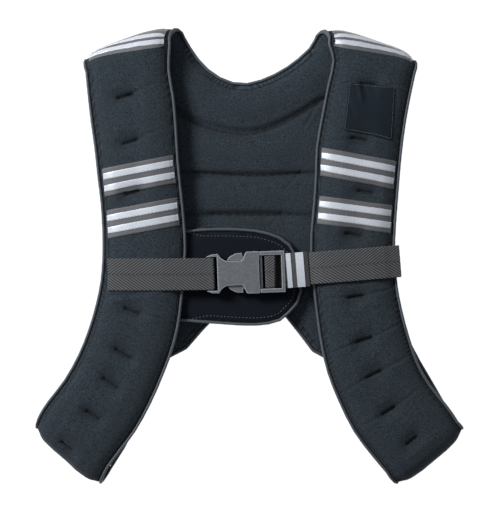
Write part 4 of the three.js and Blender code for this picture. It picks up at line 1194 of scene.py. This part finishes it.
class VEST_OT_buckle(bpy.types.Operator):
    """Make the two halves of the side-release buckle with rounded edges"""

    bl_idname = "vest.buckle"
    bl_label = "Buckle"

    def execute(self, context):
        plastic = finish_of("Moulded acetal", moulded_acetal, sizes().plastic)
        for name in ("buckle_housing", "buckle_plug"):
            piece = remeshed(node_copy(name, name + "_moulded"), PLASTIC_MESH)
            relaxed(piece.data, 5)
            finish(piece, plastic, "buckle", name)
            self.paint_edge_highlight(piece.data)
        return {"FINISHED"}

    def paint_edge_highlight(self, mesh):
        """Writes how far each point stands out of its surroundings, where the plastic gets a painted
        highlight.
        """
        co = places(mesh)
        raised = np.sum((co - neighbour_mean(mesh, co, 8)) * vertex_normals(mesh), axis=1)
        # Painted highlight on the edges that stand out.
        write_values(mesh, "mottle_and_painted_edge_highlight", np.clip(raised / (0.09 * MM), 0, 1))


class VEST_OT_stitching(bpy.types.Operator):
    """Sew the seams, the tacks and the guard pad's border with thread"""

    bl_idname = "vest.stitching"
    bl_label = "Stitching"

    def execute(self, context):
        thread = finish_of("Polyester thread", sewing_thread, linear("05070a"))
        pitch = sizes().stitch_pitch
        for side, table, tacks, turn in (("left", LEFT_STRAP, LEFT_TACKS, 1),
                                         ("right", RIGHT_STRAP, RIGHT_TACKS, -1)):
            carrier = made_tree(f"front_strap_{side}_padded")
            outer = smooth_line([flat(row[0], row[1]) for row in table])
            inner = smooth_line([flat(row[2], row[3]) for row in table])
            rows = [dropped(moved_sideways(outer, turn * STRAP_STITCH_INSET), carrier, STITCH_LIFT),
                    dropped(moved_sideways(inner, -turn * STRAP_STITCH_INSET), carrier, STITCH_LIFT)]
            stitched(f"seam_stitches_{side}", rows, thread, "binding", pitch, *SEAM_STITCH)
            bars = []
            for x0, y0, x1, y1 in tacks:
                line = smooth_line([under_pixel(x0, y0), under_pixel(x1, y1)], 0.8 * MM)
                bars.append(dropped(line, carrier, 0.0))
            stitched(f"tack_stitches_{side}", bars, thread, "binding", *TACK_STITCH)
        back = made_tree("back_panel_padded")
        neck = smooth_line([flat(*p) for p in NECKLINE])
        arch = smooth_line([flat(*p) for p in HEM_ARCH])
        rows = [dropped(moved_sideways(neck, -BACK_STITCH_INSET), back, STITCH_LIFT),
                dropped(moved_sideways(arch, BACK_STITCH_INSET), back, STITCH_LIFT)]
        stitched("seam_stitches_back", rows, thread, "binding", pitch, *SEAM_STITCH)
        guard = made_tree("guard_pad_padded")
        outline = smooth_line([flat(*p) for p in GUARD_OUTLINE], closed=True)
        twice_area = sum(a.x * b.y - a.y * b.x for a, b in zip(outline, outline[1:] + outline[:1]))
        turn = 1 if twice_area > 0 else -1
        pale = finish_of("Grey polyester thread", sewing_thread, linear("39414a"))
        inside = moved_sideways(outline, turn * GUARD_STITCH_INSET, closed=True)
        stitched("guard_stitches", [dropped(inside, guard, 0.15 * MM)], pale, "binding",
                 *GUARD_STITCH)
        return {"FINISHED"}


class VEST_OT_stage(bpy.types.Operator):
    """Set the shadowless white floor, the lights and the camera"""

    bl_idname = "vest.stage"
    bl_label = "Stage"

    def execute(self, context):
        half = FLOOR_SIZE / 2
        mesh = bpy.data.meshes.new("floor")
        mesh.from_pydata([(-half, -half, 0), (half, -half, 0), (half, half, 0), (-half, half, 0)], [],
                         [(0, 1, 2, 3)])
        floor = shown("floor", mesh)
        paper, _, shader = new_material("White paper floor", 0.9)
        shader.inputs["Base Color"].default_value = (0.05, 0.05, 0.05, 1)
        shader.inputs["Emission Color"].default_value = (1, 1, 1, 1)
        shader.inputs["Emission Strength"].default_value = 1.0
        mesh.materials.append(paper)
        context.scene.view_settings.view_transform = "Standard"
        world = bpy.data.worlds.new("Soft studio")
        context.scene.world = world
        world.use_nodes = True
        world.node_tree.nodes["Background"].inputs["Color"].default_value = (1, 1, 1, 1)
        world.node_tree.nodes["Background"].inputs["Strength"].default_value = AMBIENT
        self.light(context, "key", *LAMP_KEY)
        self.light(context, "top", *LAMP_TOP)
        camera = bpy.data.cameras.new("photo")
        camera.sensor_width = 36
        camera.lens = camera.sensor_width * CAMERA_DISTANCE / PHOTO_HEIGHT
        eye = bpy.data.objects.new("photo_camera", camera)
        context.scene.collection.objects.link(eye)
        middle = under_pixel(250, 256.5)
        eye.location = (middle.x, middle.y, CAMERA_DISTANCE + UPPER_LAYER)
        context.scene.camera = eye
        return {"FINISHED"}

    def light(self, context, name, place, power, size):
        lamp = bpy.data.lights.new(name, "AREA")
        lamp.energy = power
        lamp.size = size
        holder = bpy.data.objects.new(name, lamp)
        context.scene.collection.objects.link(holder)
        holder.location = place
        holder.rotation_euler = (-Vector(place)).to_track_quat("-Z", "Y").to_euler()


OPERATORS = (VEST_OT_stage, VEST_OT_bindings, VEST_OT_padded_body, VEST_OT_ribbons, VEST_OT_label,
             VEST_OT_belt, VEST_OT_buckle, VEST_OT_stitching)


class VEST_PT_panel(bpy.types.Panel):
    """Lists the vest's sizes and pieces in the 3D view's sidebar"""

    bl_idname = "VEST_PT_panel"
    bl_label = "Weighted vest"
    bl_space_type = "VIEW_3D"
    bl_region_type = "UI"
    bl_category = "Vest"

    def draw(self, context):
        for name in VestSizes.__annotations__:
            self.layout.prop(context.scene.vest_sizes, name)
        for operator in OPERATORS:
            self.layout.operator(operator.bl_idname)


def register():
    for kind in (VestSizes, *OPERATORS, VEST_PT_panel):
        bpy.utils.register_class(kind)
    bpy.types.Scene.vest_sizes = bpy.props.PointerProperty(type=VestSizes)


def unregister():
    del bpy.types.Scene.vest_sizes
    for kind in reversed((VestSizes, *OPERATORS, VEST_PT_panel)):
        bpy.utils.unregister_class(kind)


def main():
    register()
    bpy.ops.vest.stage()
    bpy.ops.vest.bindings()
    bpy.ops.vest.padded_body()
    bpy.ops.vest.ribbons()
    bpy.ops.vest.label()
    bpy.ops.vest.belt()
    bpy.ops.vest.buckle()
    bpy.ops.vest.stitching()
    bpy.context.view_layer.update()


if __name__ == "__main__":
    main()
